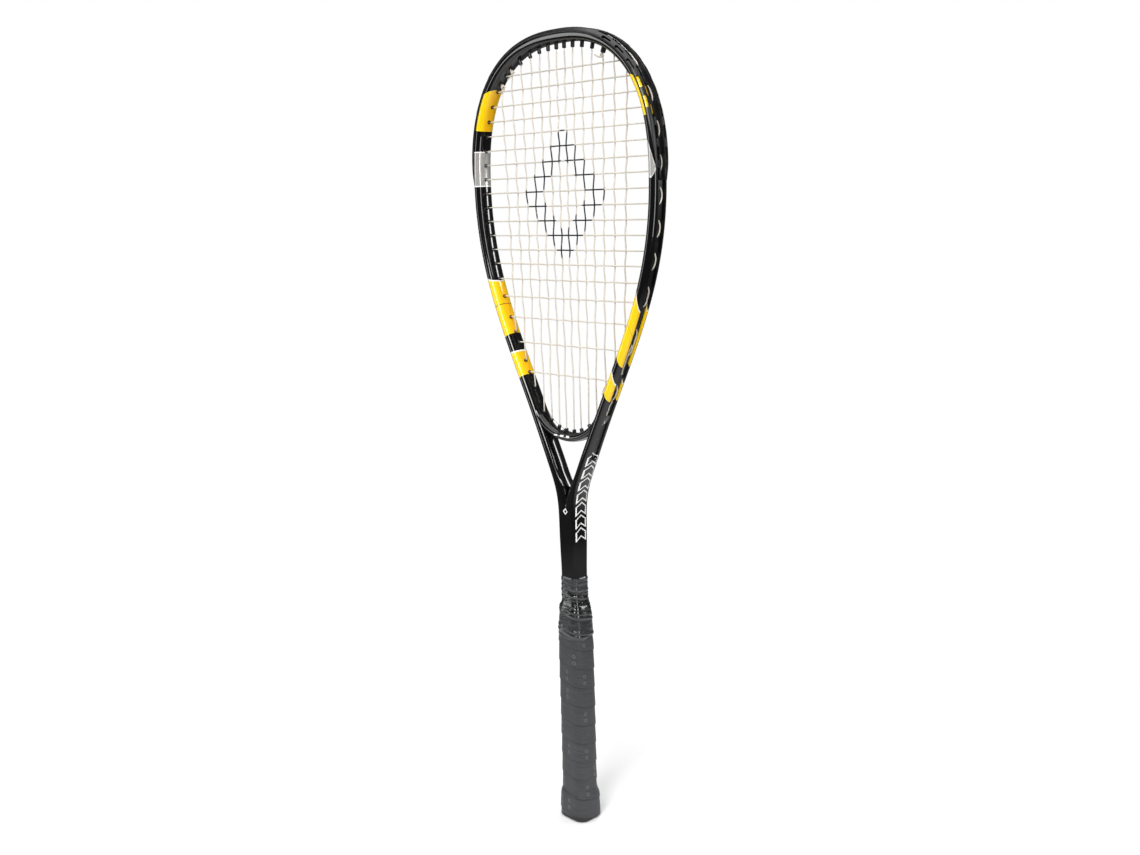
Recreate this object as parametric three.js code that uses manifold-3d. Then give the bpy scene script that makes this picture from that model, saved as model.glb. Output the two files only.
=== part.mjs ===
// Squash racket: hairpin frame, throat bridge, string bed, grommets, bumper and wrapped handle.
// Millimetres. The origin is the centre of the butt's lower face. +Z runs up to the tip, X goes
// across the head and Y is the string plane's normal; the front of the racket faces -Y.
import * as THREE from 'three';
import { mergeVertices } from 'three/addons/utils/BufferGeometryUtils.js';
import Module from 'manifold-3d';

const wasm = await Module();
wasm.setup();

// ---- Driving dimensions -------------------------------------------------------------------------

// Overall
const totalLength = 685;
const headWidth = 215;
const gap = 0.3;

// Hoop tube: width lies in the string plane, depth along its normal
const hoopWidth = 9.4;
const hoopDepth = 16.6;
const tubeWall = 1.5;
const crownHeight = 115;
const crownFullness = 2.45;
const ovalFullness = 2.4;
const tubeCorners = 12;
const throatSteps = 4;
const sideSteps = 12;
const crownSteps = 14;

// String groove round the outside of the hoop
const grooveWidth = 7.6;
const grooveDepth = 3;
const grooveTaper = 0.4;
const grooveStart = 334;
const grooveRunOut = 4;

// Arms and throat
const armTopHeight = 320;
const armTopOffset = 15.5;
const armSlope = 0.45;
const armRootHeight = 262;
const armRootOffset = 4.8;
const armWidth = 10.6;
const armDepth = 17.4;
const sideHandle = 0.36;
const armHandle = 0.45;
const armFlareHeight = 380;

// Bridge
const bridgeHeight = 349.8;
const bridgeWidth = 7.4;
const bridgeDepth = 15;
const bridgeRise = 25;
const bridgeInset = 0.5;
const bridgeGrooveDepth = 2.6;
const pocketClearance = 2;

// Shaft
const shaftWidth = 19;
const shaftDepth = 17;
const shaftChamfer = 2.4;
const shaftTopHeight = 292;
const shaftBottom = 14.5;

// Strings
const stringDiameter = 1.2;
const stringSides = 6;
const mainsPerSide = 7;
const crossCount = 19;
const layerOffset = 0.75;
const innerMainOffset = 4.5;
const mainSpreadTop = 0.745;
const mainSpreadBottom = 0.665;
const mainGapGrowth = 0.0386;
const topCrossDrop = 20.3;
const bottomCrossRise = 48.7;
const evenCrossGaps = 13;
const crossGapGrowth = 0.085;
const crossGapPower = 1.6;

// Grommets
const barrelRadius = 1.8;
const boreRadius = 1.12;
const tieBarrelRadius = 2.7;
const tieBoreRadius = 2;
const barrelSides = 6;
const stripThickness = 0.8;
const topProtrusion = 4.5;
const sideProtrusion = 1;
const bridgeProtrusion = 3;
const groovePathOffset = 1.35;
const knotRadius = 1.2;

// Bumper guard
const bumperWall = 1.3;
const bumperEndHeight = 562;
const bumperFlangeHeight = 615;
const bumperTailReach = 0.36;
const bumperGap = 0.037 * hoopDepth;

// Handle
const palletWidth = 25.9;
const palletDepth = 21.9;
const palletChamfer = 4.2;
const palletTop = 198;
const palletTaperStart = 165;
const palletTopWall = 1;
const capFloor = 3.6;
const capSkirtTop = 30;
const capSkirtWall = 1;
const capRimHeight = 3;
const capRimWidth = 32.6;
const capRimDepth = 29;
const capEdgeRound = 1.2;
const flareWidth = 29.5;
const flareDepth = 25.8;
const flareTop = 22;
const flareEnd = 28;
const doorWidth = 14;
const doorDepth = 11;
const doorLip = 1.2;
const wrapThickness = 1.65;
const wrapTopThickness = 0.9;
const wrapTop = 201;
const tapeBottom = 172;
const tapeTop = 227;
const tapeThickness = 0.5;
const stapleWire = 0.7;
const stapleHeight = 9;
const stapleHalfWidth = 4;
const stapleLeg = 4.5;

// ---- Solids -------------------------------------------------------------------------------------

// Turns a closed geometry into a solid that can be joined and cut.
function solidOf(geometry) {
  const bare = geometry.clone();
  bare.deleteAttribute('normal');
  bare.deleteAttribute('uv');
  const merged = mergeVertices(bare, 1e-5);
  const mesh = new wasm.Mesh({
    numProp: 3,
    vertProperties: new Float32Array(merged.attributes.position.array),
    triVerts: new Uint32Array(merged.index.array),
  });
  return new wasm.Manifold(mesh);
}

// Gives the triangles of a solid back as a geometry.
function geometryOf(solid) {
  const mesh = solid.getMesh();
  const geometry = new THREE.BufferGeometry();
  geometry.setAttribute('position', new THREE.BufferAttribute(new Float32Array(mesh.vertProperties), 3));
  geometry.setIndex(new THREE.BufferAttribute(new Uint32Array(mesh.triVerts), 1));
  geometry.computeVertexNormals();
  return geometry;
}

function joinAll(solids) {
  return solids.reduce((whole, next) => whole.add(next));
}

// Six times the volume that the triangles enclose; negative when they point inwards.
function signedVolume(positions, faces) {
  const corner = (k) => new THREE.Vector3().fromArray(positions, 3 * faces[k]);
  let sum = 0;
  for (let k = 0; k < faces.length; k += 3) {
    sum += corner(k).dot(corner(k + 1).cross(corner(k + 2)));
  }
  return sum;
}

// Triangles that close an outline, all turned the way the outline runs. They are worked out on a
// copy with a very slight waviness, because points along a straight edge would be left out.
function capTriangles(outline) {
  const wavy = outline.map((p, i) => p.clone().multiplyScalar(1 + 1e-4 * Math.sin(2.3 * i)));
  const turn = Math.sign(THREE.ShapeUtils.area(wavy));
  return THREE.ShapeUtils.triangulateShape(wavy, []).map(([a, b, c]) => {
    const area = THREE.ShapeUtils.area([wavy[a], wavy[b], wavy[c]]);
    return Math.sign(area) === turn ? [a, b, c] : [a, c, b];
  });
}

// Joins a row of sections into one closed solid. A section is an outline of Vector2 points and a
// place function that puts such a point in space. All outlines have the same number of points.
function loft(sections) {
  const count = sections[0].outline.length;
  const positions = sections.flatMap(({ outline, place }) => outline.flatMap((p) => place(p).toArray()));
  const faces = [];
  for (let i = 0; i < sections.length - 1; i++) {
    for (let j = 0; j < count; j++) {
      const a = i * count + j;
      const b = i * count + ((j + 1) % count);
      faces.push(a, b, b + count, a, b + count, a + count);
    }
  }
  const last = (sections.length - 1) * count;
  for (const [a, b, c] of capTriangles(sections[0].outline)) {
    faces.push(a, c, b);
  }
  for (const [a, b, c] of capTriangles(sections[sections.length - 1].outline)) {
    faces.push(last + a, last + b, last + c);
  }
  if (signedVolume(positions, faces) < 0) {
    faces.reverse();
  }
  const geometry = new THREE.BufferGeometry();
  geometry.setAttribute('position', new THREE.Float32BufferAttribute(positions, 3));
  geometry.setIndex(faces);
  return solidOf(geometry);
}

// A tube with flat ends along a list of points. One flat of its section always faces +Y or -Y.
function tube(points, radius, sides) {
  const outline = [];
  for (let j = 0; j < sides; j++) {
    const angle = (2 * Math.PI * (j + 0.5)) / sides;
    outline.push(new THREE.Vector2(Math.cos(angle), Math.sin(angle)).multiplyScalar(radius));
  }
  const sections = points.map((point, i) => {
    const before = points[Math.max(i - 1, 0)];
    const after = points[Math.min(i + 1, points.length - 1)];
    const along = new THREE.Vector3().subVectors(point, before).normalize();
    along.add(new THREE.Vector3().subVectors(after, point).normalize()).normalize();
    const across = new THREE.Vector3(0, 1, 0).addScaledVector(along, -along.y).normalize();
    const beside = new THREE.Vector3().crossVectors(along, across);
    const place = (p) => point.clone().addScaledVector(beside, p.x).addScaledVector(across, p.y);
    return { outline, place };
  });
  return loft(sections);
}

// ---- Outlines -----------------------------------------------------------------------------------

// A point of an oval with rounded sides; angle 0 is at +x.
function ovalPoint(width, depth, angle) {
  const power = 2 / ovalFullness;
  const c = Math.cos(angle);
  const s = Math.sin(angle);
  return new THREE.Vector2(
    (width / 2) * Math.sign(c) * Math.abs(c) ** power,
    (depth / 2) * Math.sign(s) * Math.abs(s) ** power,
  );
}

// The angle at which such an oval reaches the edge of a groove in its +x side.
function grooveEdgeAngle(depth) {
  return Math.asin((grooveWidth / depth) ** (ovalFullness / 2));
}

// A corner of the tube's outline, counted from the groove's edge; grow sets it off the surface.
function tubeCorner(width, depth, i, grow = 0) {
  const edge = grooveEdgeAngle(depth);
  const angle = edge + ((2 * Math.PI - 2 * edge) * i) / tubeCorners;
  return ovalPoint(width + 2 * grow, depth + 2 * grow, angle);
}

// The tube's outline with a groove in its outer side: the two groove floor corners come last.
function tubeOutline(width, depth, groove) {
  const points = [];
  for (let i = 0; i <= tubeCorners; i++) {
    points.push(tubeCorner(width, depth, i));
  }
  const floor = points[0].x - groove;
  points.push(new THREE.Vector2(floor, -(grooveWidth / 2 - grooveTaper)));
  points.push(new THREE.Vector2(floor, grooveWidth / 2 - grooveTaper));
  return points;
}

// The hollow inside the tube, which stays a wall away from the groove's floor.
function hollowOutline(width, depth, groove) {
  const inner = -(width / 2 - tubeWall);
  const outer = ovalPoint(width, depth, grooveEdgeAngle(depth)).x - groove - tubeWall;
  const points = [];
  for (let i = 0; i < 8; i++) {
    const angle = (2 * Math.PI * (i + 0.5)) / 8;
    const x = (inner + outer) / 2 + ((outer - inner) / 2) * Math.cos(angle);
    points.push(new THREE.Vector2(x, (depth / 2 - tubeWall) * Math.sin(angle)));
  }
  return points;
}

// A rectangle with cut corners, in the plane of X and Y.
function octagon(width, depth, chamfer) {
  const x = width / 2;
  const y = depth / 2;
  const corners = [
    [x, y - chamfer],
    [x - chamfer, y],
    [chamfer - x, y],
    [-x, y - chamfer],
    [-x, chamfer - y],
    [chamfer - x, -y],
    [x - chamfer, -y],
    [x, chamfer - y],
  ];
  return corners.map(([px, py]) => new THREE.Vector2(px, py));
}

// A tapering octagonal bar up the Z axis, from rows of {z, width, depth, chamfer}.
function octagonBar(rows) {
  return loft(rows.map((row) => ({
    outline: octagon(row.width, row.depth, row.chamfer),
    place: (p) => new THREE.Vector3(p.x, p.y, row.z),
  })));
}

// ---- Spines: the centre lines of the hoop and the bridge ----------------------------------------

// The rounded top of the head, from its widest point up to the tip.
class CrownCurve extends THREE.Curve {
  getPoint(t, target = new THREE.Vector2()) {
    const angle = (t * Math.PI) / 2;
    const power = 2 / crownFullness;
    const x = hoopHalfWidth * Math.max(Math.cos(angle), 0) ** power;
    return target.set(x, widestHeight + (tipHeight - widestHeight) * Math.sin(angle) ** power);
  }
}

const tipHeight = totalLength - bumperWall - gap - hoopWidth / 2;
const widestHeight = totalLength - crownHeight - hoopWidth / 2;
const hoopHalfWidth = (headWidth - hoopWidth) / 2;

// Half of the hairpin's centre line as three curves: throat, side and crown.
function halfHairpin() {
  const root = new THREE.Vector2(armRootOffset, armRootHeight);
  const armTop = new THREE.Vector2(armTopOffset, armTopHeight);
  const widest = new THREE.Vector2(hoopHalfWidth, widestHeight);
  const armLength = armTopHeight - armRootHeight;
  const sideLength = widestHeight - armTopHeight;
  const lowHandle = armLength / 3;
  const highHandle = armHandle * sideLength;
  const throat = new THREE.CubicBezierCurve(
    root,
    new THREE.Vector2(armRootOffset, armRootHeight + armLength / 2),
    new THREE.Vector2(armTopOffset - armSlope * lowHandle, armTopHeight - lowHandle),
    armTop,
  );
  const side = new THREE.CubicBezierCurve(
    armTop,
    new THREE.Vector2(armTopOffset + armSlope * highHandle, armTopHeight + highHandle),
    new THREE.Vector2(hoopHalfWidth, widestHeight - sideHandle * sideLength),
    widest,
  );
  return [[throat, throatSteps], [side, sideSteps], [new CrownCurve(), crownSteps]];
}

// Stations along joined curves: a point and the outward normal, which is to the right of travel.
function stationsAlong(curves) {
  const stations = [];
  for (const [curve, divisions] of curves) {
    for (let i = stations.length ? 1 : 0; i <= divisions; i++) {
      const point = curve.getPointAt(i / divisions);
      const tangent = curve.getTangentAt(i / divisions);
      stations.push({ x: point.x, z: point.y, nx: tangent.y, nz: -tangent.x });
    }
  }
  return stations;
}

// A half spine that ends on the middle plane, carried on by its own mirror image.
function mirrored(half, middle) {
  const centre = { ...middle, z: half[half.length - 1].z };
  const right = half.slice(0, -1).reverse();
  const left = half.slice(0, -1).map((s) => ({ x: -s.x, z: s.z, nx: -s.nx, nz: s.nz }));
  return [...left, centre, ...right];
}

// The hoop's spine runs from the left arm's root over the tip to the right arm's root.
const hoopSpine = mirrored(stationsAlong(halfHairpin()), { x: 0, nx: 0, nz: 1 });
const tipStation = (hoopSpine.length - 1) / 2;

// The bridge's spine runs from the left arm to the right one; its normals point down.
function bridgeStations() {
  const top = bridgeHeight + bridgeRise;
  const place = solveStation(0, tipStation, (q) => spineAt(hoopSpine, q).z, top);
  const bridgeReach = -spineAt(hoopSpine, place).x - bridgeInset;
  const curve = new THREE.CubicBezierCurve(
    new THREE.Vector2(bridgeReach, top),
    new THREE.Vector2(bridgeReach * 0.82, bridgeHeight + bridgeRise * 0.38),
    new THREE.Vector2(bridgeReach * 0.42, bridgeHeight),
    new THREE.Vector2(0, bridgeHeight),
  );
  const half = stationsAlong([[curve, 9]]);
  const flipped = half.map((s) => ({ x: s.x, z: s.z, nx: -s.nx, nz: -s.nz }));
  return mirrored(flipped, { x: 0, nx: 0, nz: -1 });
}

const bridgeSpine = bridgeStations();

// A place between stations. It keeps to the straight chord, so every piece has the same facets.
function spineAt(spine, q) {
  const i = Math.min(Math.floor(q), spine.length - 2);
  const [a, b] = [spine[i], spine[i + 1]];
  const mix = (key) => THREE.MathUtils.lerp(a[key], b[key], q - i);
  return { x: mix('x'), z: mix('z'), nx: mix('nx'), nz: mix('nz') };
}

// The point at a distance out from the spine and y along the string plane's normal.
function spinePoint(spine, q, out, y = 0) {
  const s = spineAt(spine, q);
  return new THREE.Vector3(s.x + s.nx * out, y, s.z + s.nz * out);
}

// The station numbers from q0 to q1: both ends and each whole station more than a margin inside.
function stationRange(q0, q1, margin = 0) {
  const inner = [];
  for (let q = Math.floor(q0 + margin) + 1; q < q1 - margin; q++) {
    inner.push(q);
  }
  return [q0, ...inner, q1];
}

// The first place from q0 to q1 where a measure of the spine passes a value.
function solveStation(q0, q1, measure, value) {
  const steps = 4000;
  let before = measure(q0) - value;
  for (let i = 1; i <= steps; i++) {
    const q = q0 + ((q1 - q0) * i) / steps;
    const here = measure(q) - value;
    if (here * before <= 0) {
      return q;
    }
    before = here;
  }
  throw new Error(`no place on the spine for ${value}`);
}

function sweep(spine, qs, outlineAt) {
  return loft(qs.map((q) => ({
    outline: outlineAt(q),
    place: (p) => spinePoint(spine, q, p.x, p.y),
  })));
}

// ---- Frame --------------------------------------------------------------------------------------

// How far the hairpin has changed from hoop to arm at a height: 0 in the hoop, 1 in the throat.
function armShare(z) {
  return 1 - THREE.MathUtils.smoothstep(z, armTopHeight, armFlareHeight);
}

function tubeSizeAt(q) {
  const { z } = spineAt(hoopSpine, q);
  const share = armShare(z);
  const full = THREE.MathUtils.smoothstep(z, grooveStart - grooveRunOut, grooveStart + grooveRunOut);
  return {
    width: THREE.MathUtils.lerp(hoopWidth, armWidth, share),
    depth: THREE.MathUtils.lerp(hoopDepth, armDepth, share),
    groove: grooveDepth * full,
  };
}

function hairpinHalf(q0, q1, grow) {
  return sweep(hoopSpine, stationRange(q0, q1), (q) => {
    const size = tubeSizeAt(q);
    return tubeOutline(size.width + 2 * grow, size.depth + 2 * grow, size.groove);
  });
}

function hairpinHollow(q0, q1) {
  return sweep(hoopSpine, stationRange(q0, q1), (q) => {
    const size = tubeSizeAt(q);
    return hollowOutline(size.width, size.depth, size.groove);
  });
}

// The shaft's rows from the butt end up; grow makes it larger all round, or smaller for its bore.
function shaftRows(bottom, top, grow) {
  const rows = [
    [bottom, 0, 0],
    [armRootHeight - 36, 0, 0],
    [armRootHeight + 6, 1.8, 0.6],
    [top, 3.8, 0.5],
  ];
  return rows.map(([z, wider, deeper]) => ({
    z,
    width: shaftWidth + wider + 2 * grow,
    depth: shaftDepth + deeper + 2 * grow,
    chamfer: shaftChamfer + 0.6 * grow,
  }));
}

// The outside of the whole hairpin, with a margin for what must stay clear of it.
function hairpinOutside(grow) {
  const end = hoopSpine.length - 1;
  const shaft = octagonBar(shaftRows(shaftBottom, shaftTopHeight, grow));
  return joinAll([hairpinHalf(0, tipStation, grow), hairpinHalf(tipStation, end, grow), shaft]);
}

// The pocket in an arm for the turn of the outermost string through the bridge.
function stringPocket(barrel) {
  const radius = stringRadius + pocketClearance;
  const pocket = new THREE.CylinderGeometry(radius, radius, 2 * radius, 8);
  const place = spinePoint(barrel.spine, barrel.q, layAt(barrel, barrel.q));
  pocket.translate(place.x, place.y, place.z);
  return solidOf(pocket);
}

function makeFrame(barrels, outerBridgeBarrels) {
  const end = hoopSpine.length - 1;
  const bore = octagonBar(shaftRows(shaftBottom - 5, shaftTopHeight - 12, -tubeWall));
  const hollow = joinAll([hairpinHollow(2, tipStation), hairpinHollow(tipStation, end - 2), bore]);
  const holes = joinAll(barrels.map(barrelHole));
  const pockets = joinAll(outerBridgeBarrels.map(stringPocket));
  return hairpinOutside(0).subtract(hollow).subtract(holes).subtract(pockets);
}

// ---- Bridge -------------------------------------------------------------------------------------

function makeBridge(barrels) {
  const bar = sweep(bridgeSpine, stationRange(0, bridgeSpine.length - 1), () => (
    tubeOutline(bridgeWidth, bridgeDepth, bridgeGrooveDepth)
  ));
  return bar.subtract(hairpinOutside(gap)).subtract(joinAll(barrels.map(barrelHole)));
}

// ---- String pattern -----------------------------------------------------------------------------

// Offsets of the main strings from the middle, for a spread that sets the outermost one.
function mainOffsets(spread) {
  const outermost = spread * (hoopHalfWidth - hoopWidth / 2);
  const last = mainsPerSide - 1;
  const share = (k) => (k + mainGapGrowth * k * k) / (last + mainGapGrowth * last * last);
  const offsets = [];
  for (let k = 0; k <= last; k++) {
    offsets.push(innerMainOffset + (outermost - innerMainOffset) * share(k));
  }
  return offsets;
}

// Heights of the cross strings from the top one down; the last gaps grow towards the throat.
function crossHeights() {
  const gapSizes = [];
  for (let j = 1; j < crossCount; j++) {
    gapSizes.push(1 + crossGapGrowth * Math.max(j - evenCrossGaps, 0) ** crossGapPower);
  }
  const top = tipHeight - hoopWidth / 2 - topCrossDrop;
  const bottom = bridgeHeight + bridgeWidth / 2 + bottomCrossRise;
  const unit = (top - bottom) / gapSizes.reduce((sum, size) => sum + size);
  let height = top;
  return [top, ...gapSizes.map((size) => (height -= size * unit))];
}

// ---- Grommet barrels ----------------------------------------------------------------------------

// A barrel stands across its tube at station q. Its mouth opens inside the head.
function barrelAt(spine, q, width, protrusion, floorAt, tie = false) {
  return { spine, q, mouth: -(width / 2 + protrusion), floorAt, tie };
}

function barrelSection(barrel, from, to, radius) {
  const points = [spinePoint(barrel.spine, barrel.q, from), spinePoint(barrel.spine, barrel.q, to)];
  return tube(points, radius, barrelSides);
}

function outerRadius(barrel) {
  return barrel.tie ? tieBarrelRadius : barrelRadius;
}

// The clearance hole in the frame or bridge for a barrel.
function barrelHole(barrel) {
  const radius = outerRadius(barrel) + gap / Math.cos(Math.PI / barrelSides);
  return barrelSection(barrel, barrel.mouth - 3, hoopWidth, radius);
}

function barrelBody(barrel) {
  const outer = barrel.floorAt(barrel.q) + gap + stripThickness / 2;
  return barrelSection(barrel, barrel.mouth, outer, outerRadius(barrel));
}

function barrelBore(barrel) {
  return barrelSection(barrel, barrel.mouth - 3, hoopWidth, barrel.tie ? tieBoreRadius : boreRadius);
}

// How far out from the spine the groove's floor lies. Between stations it runs straight.
function hoopFloorAt(q) {
  const floorOf = (station) => {
    const size = tubeSizeAt(station);
    return tubeCorner(size.width, size.depth, 0).x - size.groove;
  };
  return THREE.MathUtils.lerp(floorOf(Math.floor(q)), floorOf(Math.ceil(q)), q - Math.floor(q));
}

function bridgeFloorAt() {
  return tubeCorner(bridgeWidth, bridgeDepth, 0).x - bridgeGrooveDepth;
}

// A barrel in the hoop whose mouth has the wanted x or z, on the side given by sign.
function hoopBarrel(sign, key, value, [q0, q1], protrusion, tie) {
  const place = (q) => {
    const s = spineAt(hoopSpine, q);
    return Math.abs(s[key] - s[`n${key}`] * (tubeSizeAt(q).width / 2 + protrusion));
  };
  const q = solveStation(q0, q1, place, value);
  const station = sign < 0 ? q : 2 * tipStation - q;
  return barrelAt(hoopSpine, station, tubeSizeAt(q).width, protrusion, hoopFloorAt, tie);
}

function bridgeBarrel(sign, value) {
  const middle = (bridgeSpine.length - 1) / 2;
  const place = (q) => Math.abs(spineAt(bridgeSpine, q).x + spineAt(bridgeSpine, q).nx
    * -(bridgeWidth / 2 + bridgeProtrusion));
  const q = solveStation(0, middle, place, value);
  const station = sign < 0 ? q : 2 * middle - q;
  return barrelAt(bridgeSpine, station, bridgeWidth, bridgeProtrusion, bridgeFloorAt);
}

// Station numbers on the left half: the bumper's end, and the place where the arms meet the bridge.
const bumperEnd = solveStation(0, tipStation, (q) => spineAt(hoopSpine, q).z, bumperEndHeight);
const crownStart = solveStation(0, tipStation, (q) => spineAt(hoopSpine, q).z, widestHeight);
const bridgeMains = 3;

// The mains that strings are tied to, numbered from the middle: negative ones are on the left.
const topTies = [-6, 5, -7];
const bottomTie = 5;

// The mains from left to right, each with a top and a bottom barrel.
function makeMains() {
  const tops = mainOffsets(mainSpreadTop);
  const bottoms = mainOffsets(mainSpreadBottom);
  const mains = [];
  for (const sign of [-1, 1]) {
    for (let k = 0; k < mainsPerSide; k++) {
      const order = sign * (k + 1);
      const protrusion = k < mainsPerSide - 2 ? topProtrusion : sideProtrusion;
      const topTie = topTies.includes(order);
      const top = hoopBarrel(sign, 'x', tops[k], [crownStart, tipStation], protrusion, topTie);
      const bottom = k < bridgeMains
        ? bridgeBarrel(sign, bottoms[k])
        : hoopBarrel(sign, 'x', bottoms[k], [throatSteps, crownStart], sideProtrusion, order === bottomTie);
      mains.push({ order, top, bottom });
    }
  }
  return mains.sort((a, b) => a.order - b.order);
}

// The crosses from the top down, each with a left and a right barrel.
function makeCrosses() {
  return crossHeights().map((z) => {
    const left = hoopBarrel(-1, 'z', z, [throatSteps, tipStation], sideProtrusion);
    const right = hoopBarrel(1, 'z', z, [throatSteps, tipStation], sideProtrusion);
    return { left, right };
  });
}

// ---- Grommet strips and bumper ------------------------------------------------------------------

// A flat strip on the groove's floor with its barrels.
function grommetStrip(spine, q0, q1, floorAt, barrels) {
  const halfWidth = grooveWidth / 2 - grooveTaper - gap;
  const corners = [
    [0, -halfWidth],
    [stripThickness, -halfWidth],
    [stripThickness, halfWidth],
    [0, halfWidth],
  ];
  const base = sweep(spine, stationRange(q0, q1), (q) => (
    corners.map(([x, y]) => new THREE.Vector2(floorAt(q) + gap + x, y))
  ));
  return joinAll([base, ...barrels.map(barrelBody)]).subtract(joinAll(barrels.map(barrelBore)));
}

// The bumper's section: two flanges over the tube's outer face and a channel in its groove.
function bumperOutline(q) {
  const { z } = spineAt(hoopSpine, q);
  const full = THREE.MathUtils.smoothstep(z, bumperEndHeight, bumperFlangeHeight);
  const reach = THREE.MathUtils.lerp(bumperTailReach, 1, full);
  const mirrorY = (p) => new THREE.Vector2(p.x, -p.y);
  const face = (grow) => [0, 1, 2, 3].map((i) => {
    const corner = Math.min(Math.floor(i * reach), 2);
    const from = tubeCorner(hoopWidth, hoopDepth, corner, grow);
    return from.lerp(tubeCorner(hoopWidth, hoopDepth, corner + 1, grow), i * reach - corner);
  });
  const floorHalf = grooveWidth / 2 - grooveTaper - gap;
  const low = hoopFloorAt(q) + gap;
  const high = low + stripThickness;
  const inner = face(bumperGap);
  inner[0].y = grooveWidth / 2 - bumperGap;
  const outer = face(gap + bumperWall).reverse();
  const half = [
    new THREE.Vector2(low, floorHalf),
    ...inner,
    ...outer,
    new THREE.Vector2(outer[3].x, inner[0].y - stripThickness),
    new THREE.Vector2(high, floorHalf - stripThickness),
  ];
  return [...half, ...half.map(mirrorY).reverse()];
}

function makeBumper(barrels) {
  const end = 2 * tipStation - bumperEnd;
  const shell = sweep(hoopSpine, stationRange(bumperEnd, end), bumperOutline);
  return joinAll([shell, ...barrels.map(barrelBody)]).subtract(joinAll(barrels.map(barrelBore)));
}

// ---- Strings ------------------------------------------------------------------------------------

const stringRadius = stringDiameter / 2;

// How far out from the spine a string lies in the groove.
function layAt(barrel, q) {
  return barrel.floorAt(q) + gap + stripThickness + gap + stringRadius;
}

// A string's way through a barrel, from inside the head to its place in the groove.
function throughBarrel(barrel, y) {
  const inside = barrel.tie ? y : 0;
  const lay = layAt(barrel, barrel.q);
  return [
    spinePoint(barrel.spine, barrel.q, barrel.mouth - 2.6, y),
    spinePoint(barrel.spine, barrel.q, barrel.mouth - 0.5, inside),
    spinePoint(barrel.spine, barrel.q, lay - 0.6, inside),
  ];
}

// The way along the groove between two barrels of one spine, at a distance y off the middle.
function alongGroove(from, to, y, tieY = Math.sign(y) * layerOffset) {
  const { spine } = from;
  const layPoint = (q, offset) => spinePoint(spine, q, layAt(from, q), offset);
  const stepFor = (q) => {
    const i = Math.min(Math.floor(q), spine.length - 2);
    return Math.hypot(spine[i + 1].x - spine[i].x, spine[i + 1].z - spine[i].z);
  };
  const turn = Math.sign(to.q - from.q);
  const start = from.q + (turn * 0.7) / stepFor(from.q);
  const finish = to.q - (turn * 0.7) / stepFor(to.q);
  const shifted = from.q + (turn * 2.9) / stepFor(from.q);
  const returned = to.q - (turn * 2.9) / stepFor(to.q);
  const middle = stationRange(Math.min(shifted, returned), Math.max(shifted, returned), 0.2);
  const ordered = turn > 0 ? middle : middle.reverse();
  const startY = from.tie ? Math.sign(y) * layerOffset : 0;
  const finishY = to.tie ? tieY : 0;
  return [
    layPoint(start, startY),
    ...ordered.map((q) => layPoint(q, y)),
    layPoint(finish, finishY),
  ];
}

// One string laced through a list of runs, turning in the groove from each run to the next.
function lacedPath(runs, y) {
  const offset = Math.sign(y) * groovePathOffset;
  const points = [];
  runs.forEach(([from, to], i) => {
    points.push(...throughBarrel(from, y).reverse(), ...throughBarrel(to, y));
    if (i < runs.length - 1) {
      points.push(...alongGroove(to, runs[i + 1][0], offset));
    }
  });
  return points;
}

// The way of a string's end: along the groove to a wide barrel, whose own main string keeps to
// its front half, and back into the head through the other half to a knot.
function tiePath(from, to, y) {
  const inside = -(knotRadius + 2 * gap);
  return [
    ...alongGroove(from, to, Math.sign(y) * groovePathOffset, layerOffset),
    throughBarrel(to, layerOffset)[2],
    spinePoint(to.spine, to.q, to.mouth + inside, layerOffset),
  ];
}

// The knot that ends a string, beside the main string it is tied to.
function knot(barrel) {
  const ball = new THREE.SphereGeometry(knotRadius, 8, 6);
  const place = spinePoint(barrel.spine, barrel.q, barrel.mouth - knotRadius - 2 * gap, layerOffset);
  ball.translate(place.x, place.y + knotRadius - stringRadius, place.z);
  return solidOf(ball);
}

// ---- Handle -------------------------------------------------------------------------------------

// The outside of the pallets at a height above the cap: full size, then a taper to the shaft.
function palletSize(z) {
  const share = THREE.MathUtils.clamp((z - palletTaperStart) / (palletTop - palletTaperStart), 0, 1);
  const mix = (full, top) => THREE.MathUtils.lerp(full, top, share);
  const wall = 2 * (gap + palletTopWall);
  return {
    z,
    width: mix(palletWidth, shaftWidth + wall),
    depth: mix(palletDepth, shaftDepth + wall),
    chamfer: mix(palletChamfer, shaftChamfer + palletTopWall / 2),
  };
}

function grown(row, amount, z = row.z) {
  return {
    z,
    width: row.width + 2 * amount,
    depth: row.depth + 2 * amount,
    chamfer: row.chamfer + 0.6 * amount,
  };
}

const skirtSize = { z: 0, width: palletWidth, depth: palletDepth, chamfer: palletChamfer };
const plugSize = grown(skirtSize, -(capSkirtWall + gap));

// The two pallets' common body: a plug inside the cap, the full handle and the taper.
function palletBody() {
  const lower = octagonBar([grown(plugSize, 0, capFloor + gap), grown(plugSize, 0, capSkirtTop + 1)]);
  const start = capSkirtTop + gap;
  const upper = octagonBar([palletSize(start), palletSize(palletTaperStart), palletSize(palletTop)]);
  const pocket = octagonBar(shaftRows(shaftBottom - gap, palletTop + 5, gap).map((row, i, rows) => (
    { ...rows[0], z: i === 0 ? row.z : palletTop + 5 + i }
  )));
  return lower.add(upper).subtract(pocket);
}

function box(width, depth, height, x, y, z) {
  const geometry = new THREE.BoxGeometry(width, depth, height);
  geometry.translate(x, y, z);
  return solidOf(geometry);
}

function makePallet(sign) {
  const reach = 2 * palletWidth;
  const otherHalf = box(reach, reach, 2 * palletTop, -sign * (reach / 2 - gap / 2), 0, palletTop / 2);
  const holes = joinAll([stapleWireSolid(-1, gap), stapleWireSolid(1, gap)]);
  return palletBody().subtract(otherHalf).subtract(holes);
}

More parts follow.
